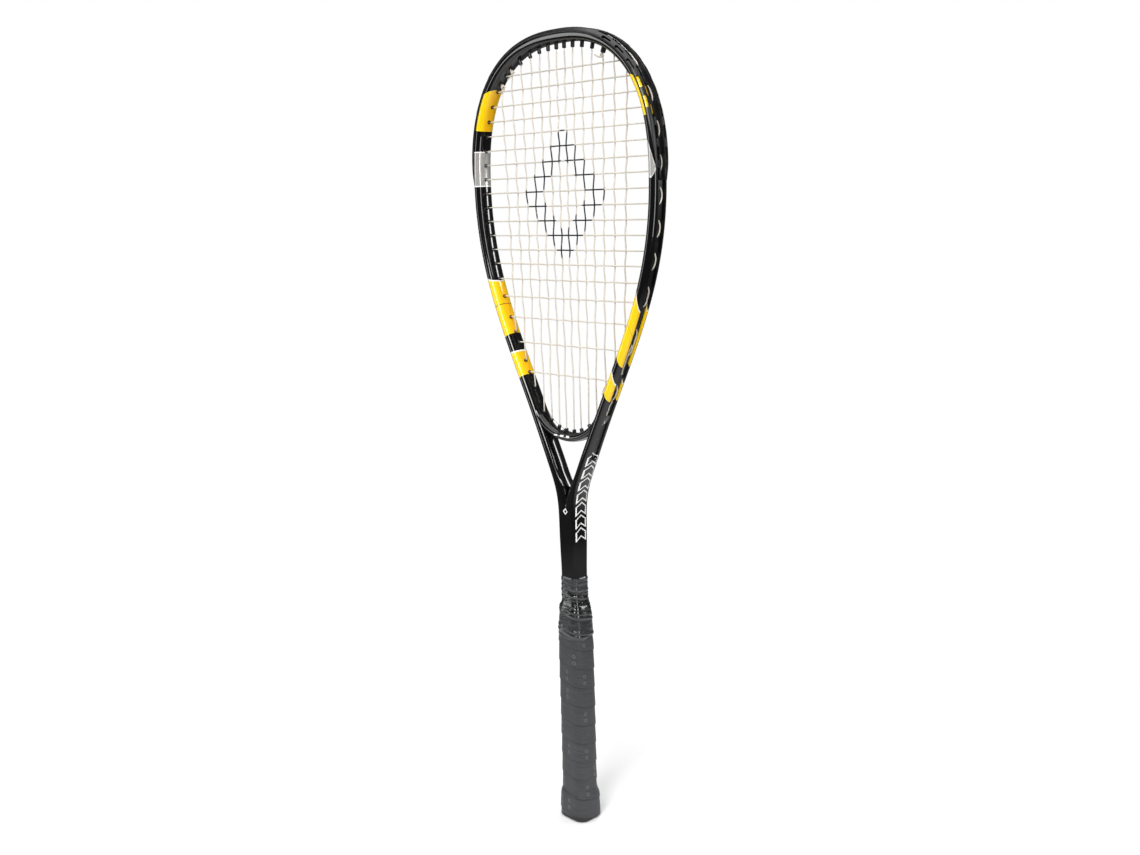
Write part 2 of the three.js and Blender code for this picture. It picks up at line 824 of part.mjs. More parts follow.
// A staple's wire: across the cap's face and back into the handle at both ends.
function stapleWireSolid(sign, grow) {
  const face = sign * (flareDepth / 2 - stapleWire / 2 - gap);
  const inner = face - sign * stapleLeg;
  const points = [
    new THREE.Vector3(-stapleHalfWidth, inner, stapleHeight),
    new THREE.Vector3(-stapleHalfWidth, face, stapleHeight),
    new THREE.Vector3(stapleHalfWidth, face, stapleHeight),
    new THREE.Vector3(stapleHalfWidth, inner, stapleHeight),
  ];
  const wide = stapleWire + 2 * grow;
  const legs = [-1, 1].map((side) => (
    box(wide, stapleLeg + wide, wide, side * stapleHalfWidth, (inner + face) / 2, stapleHeight)
  ));
  const crown = box(points[2].x - points[1].x + wide, wide, wide, 0, face, stapleHeight);
  return joinAll([crown, ...legs]);
}

// The open slot in the cap's face that a staple is driven into.
function stapleSlot(sign) {
  const width = 2 * stapleHalfWidth + stapleWire + 2 * gap;
  const depth = stapleWire + 2 * gap + 2;
  const y = sign * (flareDepth / 2 - stapleWire - 2 * gap + depth / 2);
  return box(width, depth, stapleWire + 2 * gap, 0, y, stapleHeight);
}

function doorHole(grow, z0, z1, lip) {
  const width = doorWidth - 2 * lip + 2 * grow;
  const depth = doorDepth - 2 * lip + 2 * grow;
  const size = { width, depth, chamfer: 1.5 };
  return octagonBar([{ ...size, z: z0 }, { ...size, z: z1 }]);
}

const doorStep = capFloor / 2;

function makeCap() {
  const skirt = grown(skirtSize, 0);
  const rim = { width: capRimWidth, depth: capRimDepth, chamfer: palletChamfer + 2 };
  const flare = { width: flareWidth, depth: flareDepth, chamfer: palletChamfer + 1 };
  const body = octagonBar([
    { ...grown(rim, -capEdgeRound, 0) },
    { ...rim, z: capEdgeRound },
    { ...rim, z: capRimHeight - 0.5 },
    { ...flare, z: capRimHeight },
    { ...flare, z: flareTop },
    { ...skirt, z: flareEnd },
    { ...skirt, z: capSkirtTop },
  ]);
  const inside = grown(plugSize, gap);
  const pocket = octagonBar([{ ...inside, z: capFloor }, { ...inside, z: capSkirtTop + 2 }]);
  const doorway = doorHole(0, doorStep, capFloor + 1, 0).add(doorHole(0, -1, doorStep + 0.2, doorLip));
  const staples = joinAll([-1, 1].flatMap((sign) => [stapleSlot(sign), stapleWireSolid(sign, gap)]));
  return body.subtract(pocket).subtract(doorway).subtract(staples);
}

// The door's wide flange lies on the doorway's step, under the pallets' lower ends.
function makeDoor() {
  const flange = doorHole(-gap, doorStep + gap, capFloor - 0.1, 0);
  const face = doorHole(-gap, 0, doorStep + gap + 0.3, doorLip);
  return flange.add(face);
}

// The handle's surface under the wrap, from the cap's rim to the taper's top.
function handleRows() {
  const flare = { width: flareWidth, depth: flareDepth, chamfer: palletChamfer + 1 };
  return [
    { ...flare, z: capRimHeight + gap },
    { ...flare, z: flareTop },
    { ...skirtSize, z: flareEnd },
    palletSize(palletTaperStart),
    palletSize(palletTop),
    palletSize(palletTop + 0.1),
    palletSize(wrapTop),
  ];
}

function wrapThicknessAt(z) {
  const share = THREE.MathUtils.clamp((z - palletTaperStart) / (wrapTop - palletTaperStart), 0, 1);
  return THREE.MathUtils.lerp(wrapThickness, wrapTopThickness, share);
}

function wrapRows(extra) {
  const rows = handleRows().filter((row) => row.z !== palletTop + 0.1);
  return rows.map((row) => grown(row, gap + extra + wrapThicknessAt(row.z)));
}

function makeWrap() {
  const rows = handleRows().filter((row) => row.z !== palletTop + 0.1).map((row) => grown(row, gap));
  const first = { ...rows[0], z: rows[0].z - 2 };
  const last = { ...rows[rows.length - 1], z: wrapTop + 2 };
  return octagonBar(wrapRows(0)).subtract(octagonBar([first, ...rows.slice(0, -1), last]));
}

// The wrap's outside at a height inside its taper.
function wrapSizeAt(z) {
  return grown(palletSize(z), gap + wrapThicknessAt(z));
}

function makeTape() {
  const shaft = { width: shaftWidth, depth: shaftDepth, chamfer: shaftChamfer };
  const rows = [
    grown(wrapSizeAt(tapeBottom), gap, tapeBottom),
    grown(wrapSizeAt(palletTop), gap, palletTop),
    grown(wrapSizeAt(wrapTop), gap, wrapTop + gap),
    grown(shaft, gap, wrapTop + 5),
    grown(shaft, gap, tapeTop),
  ];
  const outer = octagonBar(rows.map((row) => grown(row, tapeThickness)));
  const first = grown(wrapSizeAt(tapeBottom - 2), gap, tapeBottom - 2);
  const last = { ...rows[4], z: tapeTop + 2 };
  return outer.subtract(octagonBar([first, ...rows.slice(0, -1), last]));
}

// ---- Assembly -----------------------------------------------------------------------------------

const colours = {
  lacquer: { color: 0x0d0d10, roughness: 0.18, metalness: 0.1 },
  bridge: { color: 0x101014, roughness: 0.2, metalness: 0.1 },
  nylon: { color: 0x1a1a1c, roughness: 0.45, metalness: 0 },
  strip: { color: 0x222225, roughness: 0.5, metalness: 0 },
  string: { color: 0xe9e4d4, roughness: 0.35, metalness: 0 },
  foam: { color: 0xb9b3a2, roughness: 0.8, metalness: 0 },
  cap: { color: 0x161618, roughness: 0.3, metalness: 0 },
  steel: { color: 0xb8babd, roughness: 0.3, metalness: 0.9 },
  wrap: { color: 0x46474a, roughness: 0.75, metalness: 0 },
  tape: { color: 0x2b2d30, roughness: 0.25, metalness: 0 },
};

const racket = new THREE.Group();

function addPart(name, solid, colour) {
  const mesh = new THREE.Mesh(geometryOf(solid), new THREE.MeshStandardMaterial(colours[colour]));
  mesh.name = name;
  racket.add(mesh);
}

const mains = makeMains();
const crosses = makeCrosses();

const allBarrels = [...mains.flatMap((m) => [m.top, m.bottom]), ...crosses.flatMap((c) => [c.left, c.right])];
const hoopBarrels = allBarrels.filter((b) => b.spine === hoopSpine);
const bridgeBarrels = allBarrels.filter((b) => b.spine === bridgeSpine);
const cornerBarrels = mains.filter((m) => Math.abs(m.order) === bridgeMains + 1).map((m) => m.bottom);
const inBumper = (b) => b.q > bumperEnd && b.q < 2 * tipStation - bumperEnd;
const leftBarrels = hoopBarrels.filter((b) => b.q <= bumperEnd);
const rightBarrels = hoopBarrels.filter((b) => b.q >= 2 * tipStation - bumperEnd);

const outerBridgeBarrels = mains.filter((m) => Math.abs(m.order) === bridgeMains).map((m) => m.bottom);
addPart('hairpin_frame', makeFrame(hoopBarrels, outerBridgeBarrels), 'lacquer');
addPart('throat_bridge', makeBridge([...bridgeBarrels, ...cornerBarrels]), 'bridge');
addPart('bumper_guard', makeBumper(hoopBarrels.filter(inBumper)), 'nylon');

// The side strips stop short of the bumper's ends and of the grooves' ends in the arms.
const stripEnd = bumperEnd - 0.03;
const stripStart = Math.ceil(
  solveStation(0, tipStation, (q) => spineAt(hoopSpine, q).z, grooveStart + grooveRunOut),
);
const mirrorStation = (q) => 2 * tipStation - q;
addPart(
  'left_grommet_strip',
  grommetStrip(hoopSpine, stripStart, stripEnd, hoopFloorAt, leftBarrels),
  'strip',
);
addPart(
  'right_grommet_strip',
  grommetStrip(hoopSpine, mirrorStation(stripEnd), mirrorStation(stripStart), hoopFloorAt, rightBarrels),
  'strip',
);
// The bridge's strip is trimmed where it meets the arms.
const bridgeQs = bridgeBarrels.map((b) => b.q);
const bridgeStripEnds = [Math.min(...bridgeQs) - 0.6, Math.max(...bridgeQs) + 0.6];
const bridgeStrip = grommetStrip(bridgeSpine, ...bridgeStripEnds, bridgeFloorAt, bridgeBarrels);
addPart('bridge_grommet_strip', bridgeStrip.subtract(hairpinOutside(gap)), 'strip');

// The mains go down and up in turn from left to right, and both ends are tied at a nearby main.
const mainNumbered = (order) => mains.find((m) => m.order === order);
const mainRuns = mains.map(({ top, bottom }, i) => (i % 2 === 0 ? [top, bottom] : [bottom, top]));
const mainTies = [mainNumbered(topTies[0]).top, mainNumbered(topTies[1]).top];
const mainPath = [
  ...tiePath(mains[0].top, mainTies[0], -layerOffset).reverse(),
  ...lacedPath(mainRuns, -layerOffset),
  ...tiePath(mains[mains.length - 1].top, mainTies[1], -layerOffset),
];

// The crosses go right and left in turn from the top down, and both ends are tied at mains too.
const crossRuns = crosses.map(({ left, right }, i) => (i % 2 === 0 ? [left, right] : [right, left]));
const crossTies = [mainNumbered(topTies[2]).top, mainNumbered(bottomTie).bottom];
const lastCross = crossCount % 2 === 0 ? crosses[crossCount - 1].left : crosses[crossCount - 1].right;
const crossPath = [
  ...tiePath(crosses[0].left, crossTies[0], layerOffset).reverse(),
  ...lacedPath(crossRuns, layerOffset),
  ...tiePath(lastCross, crossTies[1], layerOffset),
];

function stringSolid(path, ties) {
  return joinAll([tube(path, stringRadius, stringSides), ...ties.map(knot)]);
}

addPart('main_string', stringSolid(mainPath, mainTies), 'string');
addPart('cross_string', stringSolid(crossPath, crossTies), 'string');

addPart('left_pallet', makePallet(-1), 'foam');
addPart('right_pallet', makePallet(1), 'foam');
addPart('butt_cap', makeCap(), 'cap');
addPart('butt_cap_door', makeDoor(), 'cap');
addPart('front_staple', stapleWireSolid(-1, 0), 'steel');
addPart('back_staple', stapleWireSolid(1, 0), 'steel');
addPart('grip_wrap', makeWrap(), 'wrap');
addPart('finishing_tape', makeTape(), 'tape');

export default racket;
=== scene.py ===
"""Squash racket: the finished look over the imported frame.

Lengths are in metres unless a name ends in _mm. +Z runs from the butt to the tip, +X across the
head, and the front of the racket faces -Y.
"""

import math

import bmesh
import bpy
from mathutils import Matrix, Vector
from mathutils.kdtree import KDTree


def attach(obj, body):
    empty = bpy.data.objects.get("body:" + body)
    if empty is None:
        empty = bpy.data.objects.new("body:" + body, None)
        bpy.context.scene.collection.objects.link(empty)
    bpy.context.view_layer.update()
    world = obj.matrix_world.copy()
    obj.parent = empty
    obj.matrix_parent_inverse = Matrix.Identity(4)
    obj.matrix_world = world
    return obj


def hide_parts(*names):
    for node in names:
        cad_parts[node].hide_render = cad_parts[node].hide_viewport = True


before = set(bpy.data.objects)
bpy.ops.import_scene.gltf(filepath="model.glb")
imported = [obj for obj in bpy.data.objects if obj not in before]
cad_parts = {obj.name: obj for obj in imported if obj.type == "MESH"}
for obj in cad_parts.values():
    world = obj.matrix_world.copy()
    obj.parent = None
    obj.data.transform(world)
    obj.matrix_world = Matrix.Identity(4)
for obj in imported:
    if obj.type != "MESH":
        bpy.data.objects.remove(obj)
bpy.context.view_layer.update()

bl_info = {
    "name": "Squash racket",
    "version": (1, 0, 0),
    "blender": (4, 5, 0),
    "location": "View3D > Sidebar > Racket",
    "description": "Builds a strung squash racket over its packed frame",
    "category": "Object",
}

MM = 0.001


# ---- Sizes and colours ---------------------------------------------------------------------------


def size(name, description, default):
    return bpy.props.FloatProperty(
        name=name, description=description, default=default, unit="LENGTH", precision=5
    )


def colour(name, description, hex_value):
    return bpy.props.FloatVectorProperty(
        name=name,
        description=description,
        default=linear(hex_value),
        size=4,
        min=0.0,
        max=1.0,
        subtype="COLOR",
    )


def linear(hex_value):
    """The linear colour, with alpha, of an sRGB hex value such as "#FFD400"."""
    channels = [int(hex_value[i : i + 2], 16) / 255 for i in (1, 3, 5)]
    return (
        *(c / 12.92 if c <= 0.04045 else ((c + 0.055) / 1.055) ** 2.4 for c in channels),
        1.0,
    )


class RacketSizes(bpy.types.PropertyGroup):
    string: size("String", "Diameter of the nylon string", 0.0012)
    weave: size("Weave", "How far a string rises where it crosses another", 0.00062)
    wrap_pitch: size("Wrap pitch", "Height of one turn of the grip tape", 0.0175)
    wrap_overlap: size("Wrap overlap", "Step where one turn of tape lies on the last", 0.0005)
    slot_length: size("Slot length", "Length of a slot in the bumper guard", 0.0105)
    slot_width: size("Slot width", "Width of a slot in the bumper guard", 0.0024)


class RacketColours(bpy.types.PropertyGroup):
    lacquer: colour("Lacquer", "Base coat of the frame", "#050506")
    yellow: colour("Yellow", "Panels on the head", "#FFD90C")
    # Orange also darkens the yellow towards the tube's edges, as painted shade on the tube's sides.
    orange: colour("Orange", "Edge line of the yellow panels", "#F59A12")
    silver: colour("Silver", "Panel at the side of the head", "#CBC9C5")
    outline: colour("Outline", "Thin lines round the panels", "#F4F4F2")
    nylon: colour("Guard", "Bumper guard and grommets", "#0B0B0D")
    string: colour("String", "Nylon string", "#DAD3C7")
    stencil: colour("Stencil", "Ink on the strings", "#0A0A0C")
    grip: colour("Grip", "Grip tape", "#28292B")
    film: colour("Film", "Finishing tape", "#222427")


# ---- The racket's centre lines, in millimetres ---------------------------------------------------

TIP_MM = 678.7
WIDEST_MM = 565.3
HALF_WIDTH_MM = 102.8
CROWN_FULLNESS = 2.45
ARM_ROOT = (4.8, 262.0)
ARM_TOP = (15.5, 320.0)
ARM_SLOPE = 0.45
SHAFT_FOOT_MM = 14.5
HOOP_WIDTH_MM = 9.4
HOOP_DEPTH_MM = 16.6
ARM_WIDTH_MM = 10.6
ARM_DEPTH_MM = 17.4
OVAL_FULLNESS = 2.4
GROOVE_WIDTH_MM = 7.6
GROOVE_DEPTH_MM = 3.0
GROOVE_START_MM = 334.0
BRIDGE_MM = 349.8
BRIDGE_WIDTH_MM = 7.4
BRIDGE_DEPTH_MM = 15.0
BRIDGE_END = (41.0, 374.8)
BUMPER_END_MM = 562.0
BUMPER_FLANGE_MM = 615.0


def smooth(value, low, high):
    share = min(max((value - low) / (high - low), 0.0), 1.0)
    return share * share * (3 - 2 * share)


def mix(a, b, share):
    return a + (b - a) * share


def bezier(points, t):
    """The point and direction at t on a cubic curve."""
    a, b, c, d = (Vector(p) for p in points)
    s = 1 - t
    place = a * s**3 + b * 3 * s * s * t + c * 3 * s * t * t + d * t**3
    heading = (b - a) * 3 * s * s + (c - b) * 6 * s * t + (d - c) * 3 * t * t
    return place, heading.normalized()


def crown_point(t):
    angle = t * math.pi / 2
    power = 2 / CROWN_FULLNESS
    x = HALF_WIDTH_MM * max(math.cos(angle), 0.0) ** power
    return Vector((x, WIDEST_MM + (TIP_MM - WIDEST_MM) * math.sin(angle) ** power))


class Spine:
    """A smooth line in the string plane, as evenly spaced stations.

    A station is (point, outward normal): the normal lies to the right of travel.
    """

    def __init__(self, points, step, first=None, last=None):
        lengths = [0.0]
        for a, b in zip(points, points[1:]):
            lengths.append(lengths[-1] + (b - a).length)
        self.length = lengths[-1]
        count = max(2, round(self.length / step))
        self.step = self.length / count
        self.points = []
        j = 0
        for i in range(count + 1):
            want = self.length * i / count
            while j < len(points) - 2 and lengths[j + 1] < want:
                j += 1
            gap = lengths[j + 1] - lengths[j]
            self.points.append(points[j].lerp(points[j + 1], (want - lengths[j]) / gap))
        self.normals = []
        for i in range(count + 1):
            a = self.points[max(i - 1, 0)]
            b = self.points[min(i + 1, count)]
            ahead = (b - a).normalized()
            self.normals.append(Vector((ahead.y, -ahead.x)))
        if first:
            self.normals[0] = Vector(first)
        if last:
            self.normals[-1] = Vector(last)

    def at(self, run):
        """The point and normal at a distance along the line."""
        place = min(max(run / self.step, 0.0), len(self.points) - 1.0)
        i = min(int(place), len(self.points) - 2)
        share = place - i
        point = self.points[i].lerp(self.points[i + 1], share)
        return point, self.normals[i].lerp(self.normals[i + 1], share).normalized()

    def run_where(self, measure, value, low=0.0, high=None):
        """The first distance, low to high, at which a measure of (point, normal) passes value."""
        high = self.length if high is None else high
        steps = 3000
        before = measure(*self.at(low)) - value
        for i in range(1, steps + 1):
            run = mix(low, high, i / steps)
            here = measure(*self.at(run)) - value
            if here * before <= 0:
                return run
            before = here
        raise ValueError(f"no place on the line for {value}")


def half_hairpin():
    """The right half of the frame's centre line, from the shaft's foot to the tip."""
    rise = ARM_TOP[1] - ARM_ROOT[1]
    side = WIDEST_MM - ARM_TOP[1]
    low, high = rise / 3, 0.45 * side
    throat = (
        ARM_ROOT,
        (ARM_ROOT[0], ARM_ROOT[1] + rise / 2),
        (ARM_TOP[0] - ARM_SLOPE * low, ARM_TOP[1] - low),
        ARM_TOP,
    )
    flank = (
        ARM_TOP,
        (ARM_TOP[0] + ARM_SLOPE * high, ARM_TOP[1] + high),
        (HALF_WIDTH_MM, WIDEST_MM - 0.36 * side),
        (HALF_WIDTH_MM, WIDEST_MM),
    )
    points = [Vector((ARM_ROOT[0], SHAFT_FOOT_MM)), Vector(ARM_ROOT)]
    points += [bezier(throat, i / 120)[0] for i in range(1, 121)]
    points += [bezier(flank, i / 400)[0] for i in range(1, 401)]
    points += [crown_point(i / 900) for i in range(1, 901)]
    return Spine(points, 1.4, first=(1, 0), last=(0, 1))


def half_bridge():
    """The right half of the bridge's centre line, from its middle to the arm, with normals down."""
    reach, top = BRIDGE_END
    rise = top - BRIDGE_MM
    curve = (
        (0.0, BRIDGE_MM),
        (0.42 * reach, BRIDGE_MM),
        (0.82 * reach, BRIDGE_MM + 0.38 * rise),
        (reach, top),
    )
    return Spine([bezier(curve, i / 200)[0] for i in range(201)], 0.8, first=(0, -1))


HAIRPIN = half_hairpin()
BRIDGE = half_bridge()


def height_of(point, normal):
    return point.y


def arm_share(z):
    """How far the tube has changed from hoop to arm at a height: 0 in the hoop, 1 in the throat."""
    return 1 - smooth(z, 320.0, 380.0)


def tube_size(z):
    share = arm_share(z)
    return (
        mix(HOOP_WIDTH_MM, ARM_WIDTH_MM, share),
        mix(HOOP_DEPTH_MM, ARM_DEPTH_MM, share),
    )


def oval(width, depth, angle, fullness=OVAL_FULLNESS):
    c, s = math.cos(angle), math.sin(angle)
    power = 2 / fullness
    return Vector(
        (
            math.copysign(abs(c) ** power, c) * width / 2,
            math.copysign(abs(s) ** power, s) * depth / 2,
        )
    )


def oval_edge(depth, half):
    """The angle at which the oval is half away from the string plane on its outer side."""
    return math.asin(min((2 * half / depth) ** (OVAL_FULLNESS / 2), 1.0))


# ---- Meshes --------------------------------------------------------------------------------------


def mesh_from(name, verts_mm, faces):
    mesh = bpy.data.meshes.new(name)
    mesh.from_pydata([Vector(v) * MM for v in verts_mm], [], faces)
    return mesh


def loft(rings, close_first=True, close_last=True):
    """Points and faces through rings with the same number of points, in order along the piece."""
    count = len(rings[0])
    verts = [p for ring in rings for p in ring]
    faces = []
    for i in range(len(rings) - 1):
        for j in range(count):
            k = (j + 1) % count
            faces.append((i * count + j, i * count + k, (i + 1) * count + k, (i + 1) * count + j))
    if close_first:
        faces.append(tuple(range(count))[::-1])
    if close_last:
        faces.append(tuple(range(len(verts) - count, len(verts))))
    return verts, faces


def tidy_mesh(mesh, merge_mm=0.004, mirror=False):
    """Cuts at the middle plane and mirrors if asked, merges doubles and turns faces outwards."""
    bm = bmesh.new()
    bm.from_mesh(mesh)
    if mirror:
        everything = bm.verts[:] + bm.edges[:] + bm.faces[:]
        bmesh.ops.bisect_plane(
            bm,
            geom=everything,
            dist=1e-7,
            plane_co=(0, 0, 0),
            plane_no=(1, 0, 0),
            clear_inner=True,
        )
        ends = [f for f in bm.faces if all(abs(v.co.x) < 1e-6 for v in f.verts)]
        bmesh.ops.delete(bm, geom=ends, context="FACES")
        copy = bmesh.ops.duplicate(bm, geom=bm.verts[:] + bm.edges[:] + bm.faces[:])["geom"]
        twins = [g for g in copy if isinstance(g, bmesh.types.BMVert)]
        bmesh.ops.scale(bm, vec=(-1, 1, 1), verts=twins)
    bmesh.ops.remove_doubles(bm, verts=bm.verts[:], dist=merge_mm * MM)
    bmesh.ops.dissolve_degenerate(bm, edges=bm.edges[:], dist=1e-6)
    bmesh.ops.recalc_face_normals(bm, faces=bm.faces[:])
    bm.to_mesh(mesh)
    bm.free()


def new_piece(name, mesh, material, smooth_angle=35.0):
    piece = bpy.data.objects.new(name, mesh)
    bpy.context.scene.collection.objects.link(piece)
    mesh.materials.clear()
    mesh.materials.append(material)
    for face in mesh.polygons:
        face.use_smooth = True
    mesh.set_sharp_from_angle(angle=math.radians(smooth_angle))
    return piece


def plain_copy(obj, name):
    """A plain mesh of an object with its modifiers applied, as a new object in its place."""
    depsgraph = bpy.context.evaluated_depsgraph_get()
    mesh = bpy.data.meshes.new_from_object(obj.evaluated_get(depsgraph))
    mesh.name = name
    bpy.data.objects.remove(obj)
    piece = bpy.data.objects.new(name, mesh)
    bpy.context.scene.collection.objects.link(piece)
    return piece


# ---- Node trees ----------------------------------------------------------------------------------


def add_node(tree, kind, settings=None, **inputs):
    """Adds a node. Settings are its properties; inputs are sockets by name or number.

    A name's underscores stand for spaces. A socket as a value is linked.
    """
    node = tree.nodes.new(kind)
    for key, value in (settings or {}).items():
        setattr(node, key, value)
    for key, value in inputs.items():
        if key.startswith("in_"):
            socket = node.inputs[int(key[3:])]
        else:
            socket = node.inputs[key.replace("_", " ")]
        if isinstance(value, bpy.types.NodeSocket):
            tree.links.new(value, socket)
        else:
            socket.default_value = value
    return node


def calc(tree, operation, a, b=0.0, c=0.0):
    """The result of a Math node on two or three numbers or sockets."""
    return add_node(
        tree, "ShaderNodeMath", {"operation": operation}, in_0=a, in_1=b, in_2=c
    ).outputs[0]


def between(tree, value, low, high, soft=0.12):
    """1 where value lies from low to high, with an edge that many units wide, and 0 elsewhere."""
    rise = add_node(
        tree, "ShaderNodeMapRange", {"interpolation_type": "SMOOTHSTEP"}, Value=value,
        From_Min=calc(tree, "SUBTRACT", low, soft), From_Max=calc(tree, "ADD", low, soft),
    ).outputs[0]
    fall = add_node(
        tree, "ShaderNodeMapRange", {"interpolation_type": "SMOOTHSTEP"}, Value=value,
        From_Min=calc(tree, "SUBTRACT", high, soft), From_Max=calc(tree, "ADD", high, soft),
        To_Min=1.0, To_Max=0.0,
    ).outputs[0]
    return calc(tree, "MULTIPLY", rise, fall)


def paint(tree, under, over, mask):
    """One colour over another where the mask is 1."""
    node = tree.nodes.new("ShaderNodeMix")
    node.data_type = "RGBA"
    for socket, value in ((node.inputs[0], mask), (node.inputs[6], under), (node.inputs[7], over)):
        if isinstance(value, bpy.types.NodeSocket):
            tree.links.new(value, socket)
        else:
            socket.default_value = value
    return node.outputs[2]


def new_material(name):
    """A material with a Principled shader, its tree, and object coordinates in millimetres."""
    material = bpy.data.materials.new(name)
    material.use_nodes = True
    tree = material.node_tree
    tree.nodes.clear()
    shader = add_node(tree, "ShaderNodeBsdfPrincipled")
    add_node(tree, "ShaderNodeOutputMaterial", Surface=shader.outputs[0])
    place = add_node(tree, "ShaderNodeTexCoord").outputs["Object"]
    scaled = add_node(
        tree, "ShaderNodeVectorMath", {"operation": "SCALE"}, in_0=place, Scale=1000.0
    ).outputs[0]
    return material, tree, shader, scaled


def connect(tree, shader, **inputs):
    for key, value in inputs.items():
        socket = shader.inputs[key.replace("_", " ")]
        if isinstance(value, bpy.types.NodeSocket):
            tree.links.new(value, socket)
        else:
            socket.default_value = value


def bump(tree, height, depth_mm, normal=None):
    """A normal from a height of 0 to 1, that many millimetres deep."""
    node = add_node(tree, "ShaderNodeBump", Height=height, Distance=depth_mm * MM, Strength=1.0)
    if normal:
        tree.links.new(normal, node.inputs["Normal"])
    return node.outputs[0]


# ---- Materials -----------------------------------------------------------------------------------


def frame_lacquer(colours):
    """Clear-coated lacquer over moulded carbon fibre: black and mirror-like, with panels painted
    under the clear coat, thin outlines round them, and a few hairline scuffs."""
    material, tree, shader, place = new_material("clear_coated_lacquer")
    xyz = add_node(tree, "ShaderNodeSeparateXYZ", Vector=place)
    x, y, z = xyz.outputs
    outward = add_node(tree, "ShaderNodeAttribute", {"attribute_name": "outward"}).outputs["Fac"]
    right = calc(tree, "GREATER_THAN", x, 0.0)
    left = calc(tree, "SUBTRACT", 1.0, right)

    def bent(start, slope, curve=0.0):
        """A boundary's height across the tube, where it is slanted and bowed."""
        slanted = calc(tree, "MULTIPLY_ADD", outward, slope, start)
        square = calc(tree, "MULTIPLY", outward, outward)
        return calc(tree, "MULTIPLY_ADD", square, curve, slanted)

    def band(low, high):
        return between(tree, z, low, high)

    def edge_line(height, width):
        return between(tree, z, height, calc(tree, "ADD", height, width))

    def either(*masks):
        result = masks[0]
        for mask in masks[1:]:
            result = calc(tree, "MAXIMUM", result, mask)
        return result

    def only(mask, *others):
        for other in others:
            mask = calc(tree, "MULTIPLY", mask, other)
        return mask

    # Heights of the panels' edges where the outward distance is 0, with a slope across the tube.
    high_band = band(bent(610.5, 0.15), bent(641.0, -0.5))
    left_low = either(
        band(bent(433.0, -0.55), bent(481.5, 0.2)), band(bent(398.0, -0.55), bent(418.5, -0.35))
    )
    leaf_one_top = bent(472.0, -2.3, -0.12)
    leaf_two_top = bent(408.5, -1.7, -0.1)
    leaf_one = band(bent(421.5, -1.5), leaf_one_top)
    leaf_two = band(bent(391.0, -1.3), leaf_two_top)
    yellow = either(high_band, only(left_low, left), only(either(leaf_one, leaf_two), right))

    silver_top = bent(586.0, -3.2, -0.3)
    silver_foot = bent(563.8, 0.0, 0.45)
    silver = either(
        only(band(563.8, 592.0), left),
        only(band(silver_foot, silver_top), right),
    )
    lines = either(
        only(either(edge_line(562.8, 1.1), edge_line(591.8, 1.1)), left),
        only(either(edge_line(silver_top, 1.2), edge_line(silver_foot, 1.2)), right,
             between(tree, outward, -6.0, 3.3)),
        only(either(edge_line(bent(481.3, 0.2), 1.1), edge_line(bent(418.3, -0.35), 1.1)), left),
        only(either(edge_line(leaf_one_top, 1.3), edge_line(leaf_two_top, 1.3)), right),
    )
    seam_left = only(edge_line(bent(458.4, -0.5), 0.5), left)
    seam_right = only(edge_line(bent(449.5, -1.2, -0.2), 0.6), right)

    # Generic marks where a maker would print a name: short bars along the left side, and outlined
    # chevrons down the right arm.
    ladder = calc(tree, "FRACT", calc(tree, "MULTIPLY", z, 1 / 3.4))
    dashes = only(
        between(tree, ladder, 0.2, 0.62, 0.05),
        band(500.5, 539.0),
        between(tree, outward, 1.4, 3.1),
        calc(tree, "LESS_THAN", y, 0.0),
        left,
    )
    pitch = 11.4
    aside = calc(tree, "ABSOLUTE", calc(tree, "ADD", y, 0.85))
    down = calc(tree, "MULTIPLY_ADD", aside, 0.7, calc(tree, "SUBTRACT", z, 262.0))
    cell = calc(tree, "MULTIPLY", calc(tree, "FRACT", calc(tree, "DIVIDE", down, pitch)), pitch)
    outer_edge = only(between(tree, cell, 1.4, 9.8), between(tree, aside, -1.0, 6.05))
    inner_edge = only(between(tree, cell, 2.6, 8.6), between(tree, aside, -1.0, 4.85))
    column = only(
        calc(tree, "SUBTRACT", outer_edge, inner_edge),
        between(tree, down, 0.5, 7 * pitch - 0.5),
        calc(tree, "GREATER_THAN", outward, 0.5),
        right,
    )
    # A small lozenge under the fork, and a short row of ticks on the bridge.
    front = calc(tree, "LESS_THAN", y, -4.0)
    fall = calc(tree, "ABSOLUTE", calc(tree, "SUBTRACT", z, 285.5))
    lean = calc(tree, "ABSOLUTE", calc(tree, "ADD", x, 0.4))
    lozenge = only(between(tree, calc(tree, "ADD", fall, lean), 1.5, 2.9), front)
    tick = calc(tree, "FRACT", calc(tree, "MULTIPLY", calc(tree, "ADD", x, 14.4), 1 / 7.2))
    ticks = only(
        between(tree, tick, 0.2, 0.75, 0.03),
        band(350.6, 352.0),
        between(tree, x, -14.4, 7.2, 0.2),
        front,
    )

    # Fine brushed grain under the silver, across the tube, about 0.4 mm apart.
    grain = add_node(
        tree, "ShaderNodeTexNoise", Scale=1.0, Detail=3.0,
        Vector=add_node(
            tree, "ShaderNodeVectorMath", {"operation": "MULTIPLY"}, in_0=place,
            in_1=(0.3, 0.3, 2.5)
        ).outputs[0],
    ).outputs["Fac"]
    silver_tone = paint(tree, tuple(colours.silver), linear("#A9A8A5"), grain)
    # The yellow darkens to orange towards the tube's edges: painted shade on the tube's sides.
    rim = add_node(
        tree, "ShaderNodeMapRange", {"interpolation_type": "SMOOTHSTEP"},
        Value=calc(tree, "ABSOLUTE", outward), From_Min=3.3, From_Max=4.9,
    ).outputs[0]
    yellow_tone = paint(
        tree, tuple(colours.yellow), tuple(colours.orange), calc(tree, "MULTIPLY", rim, 0.55)
    )

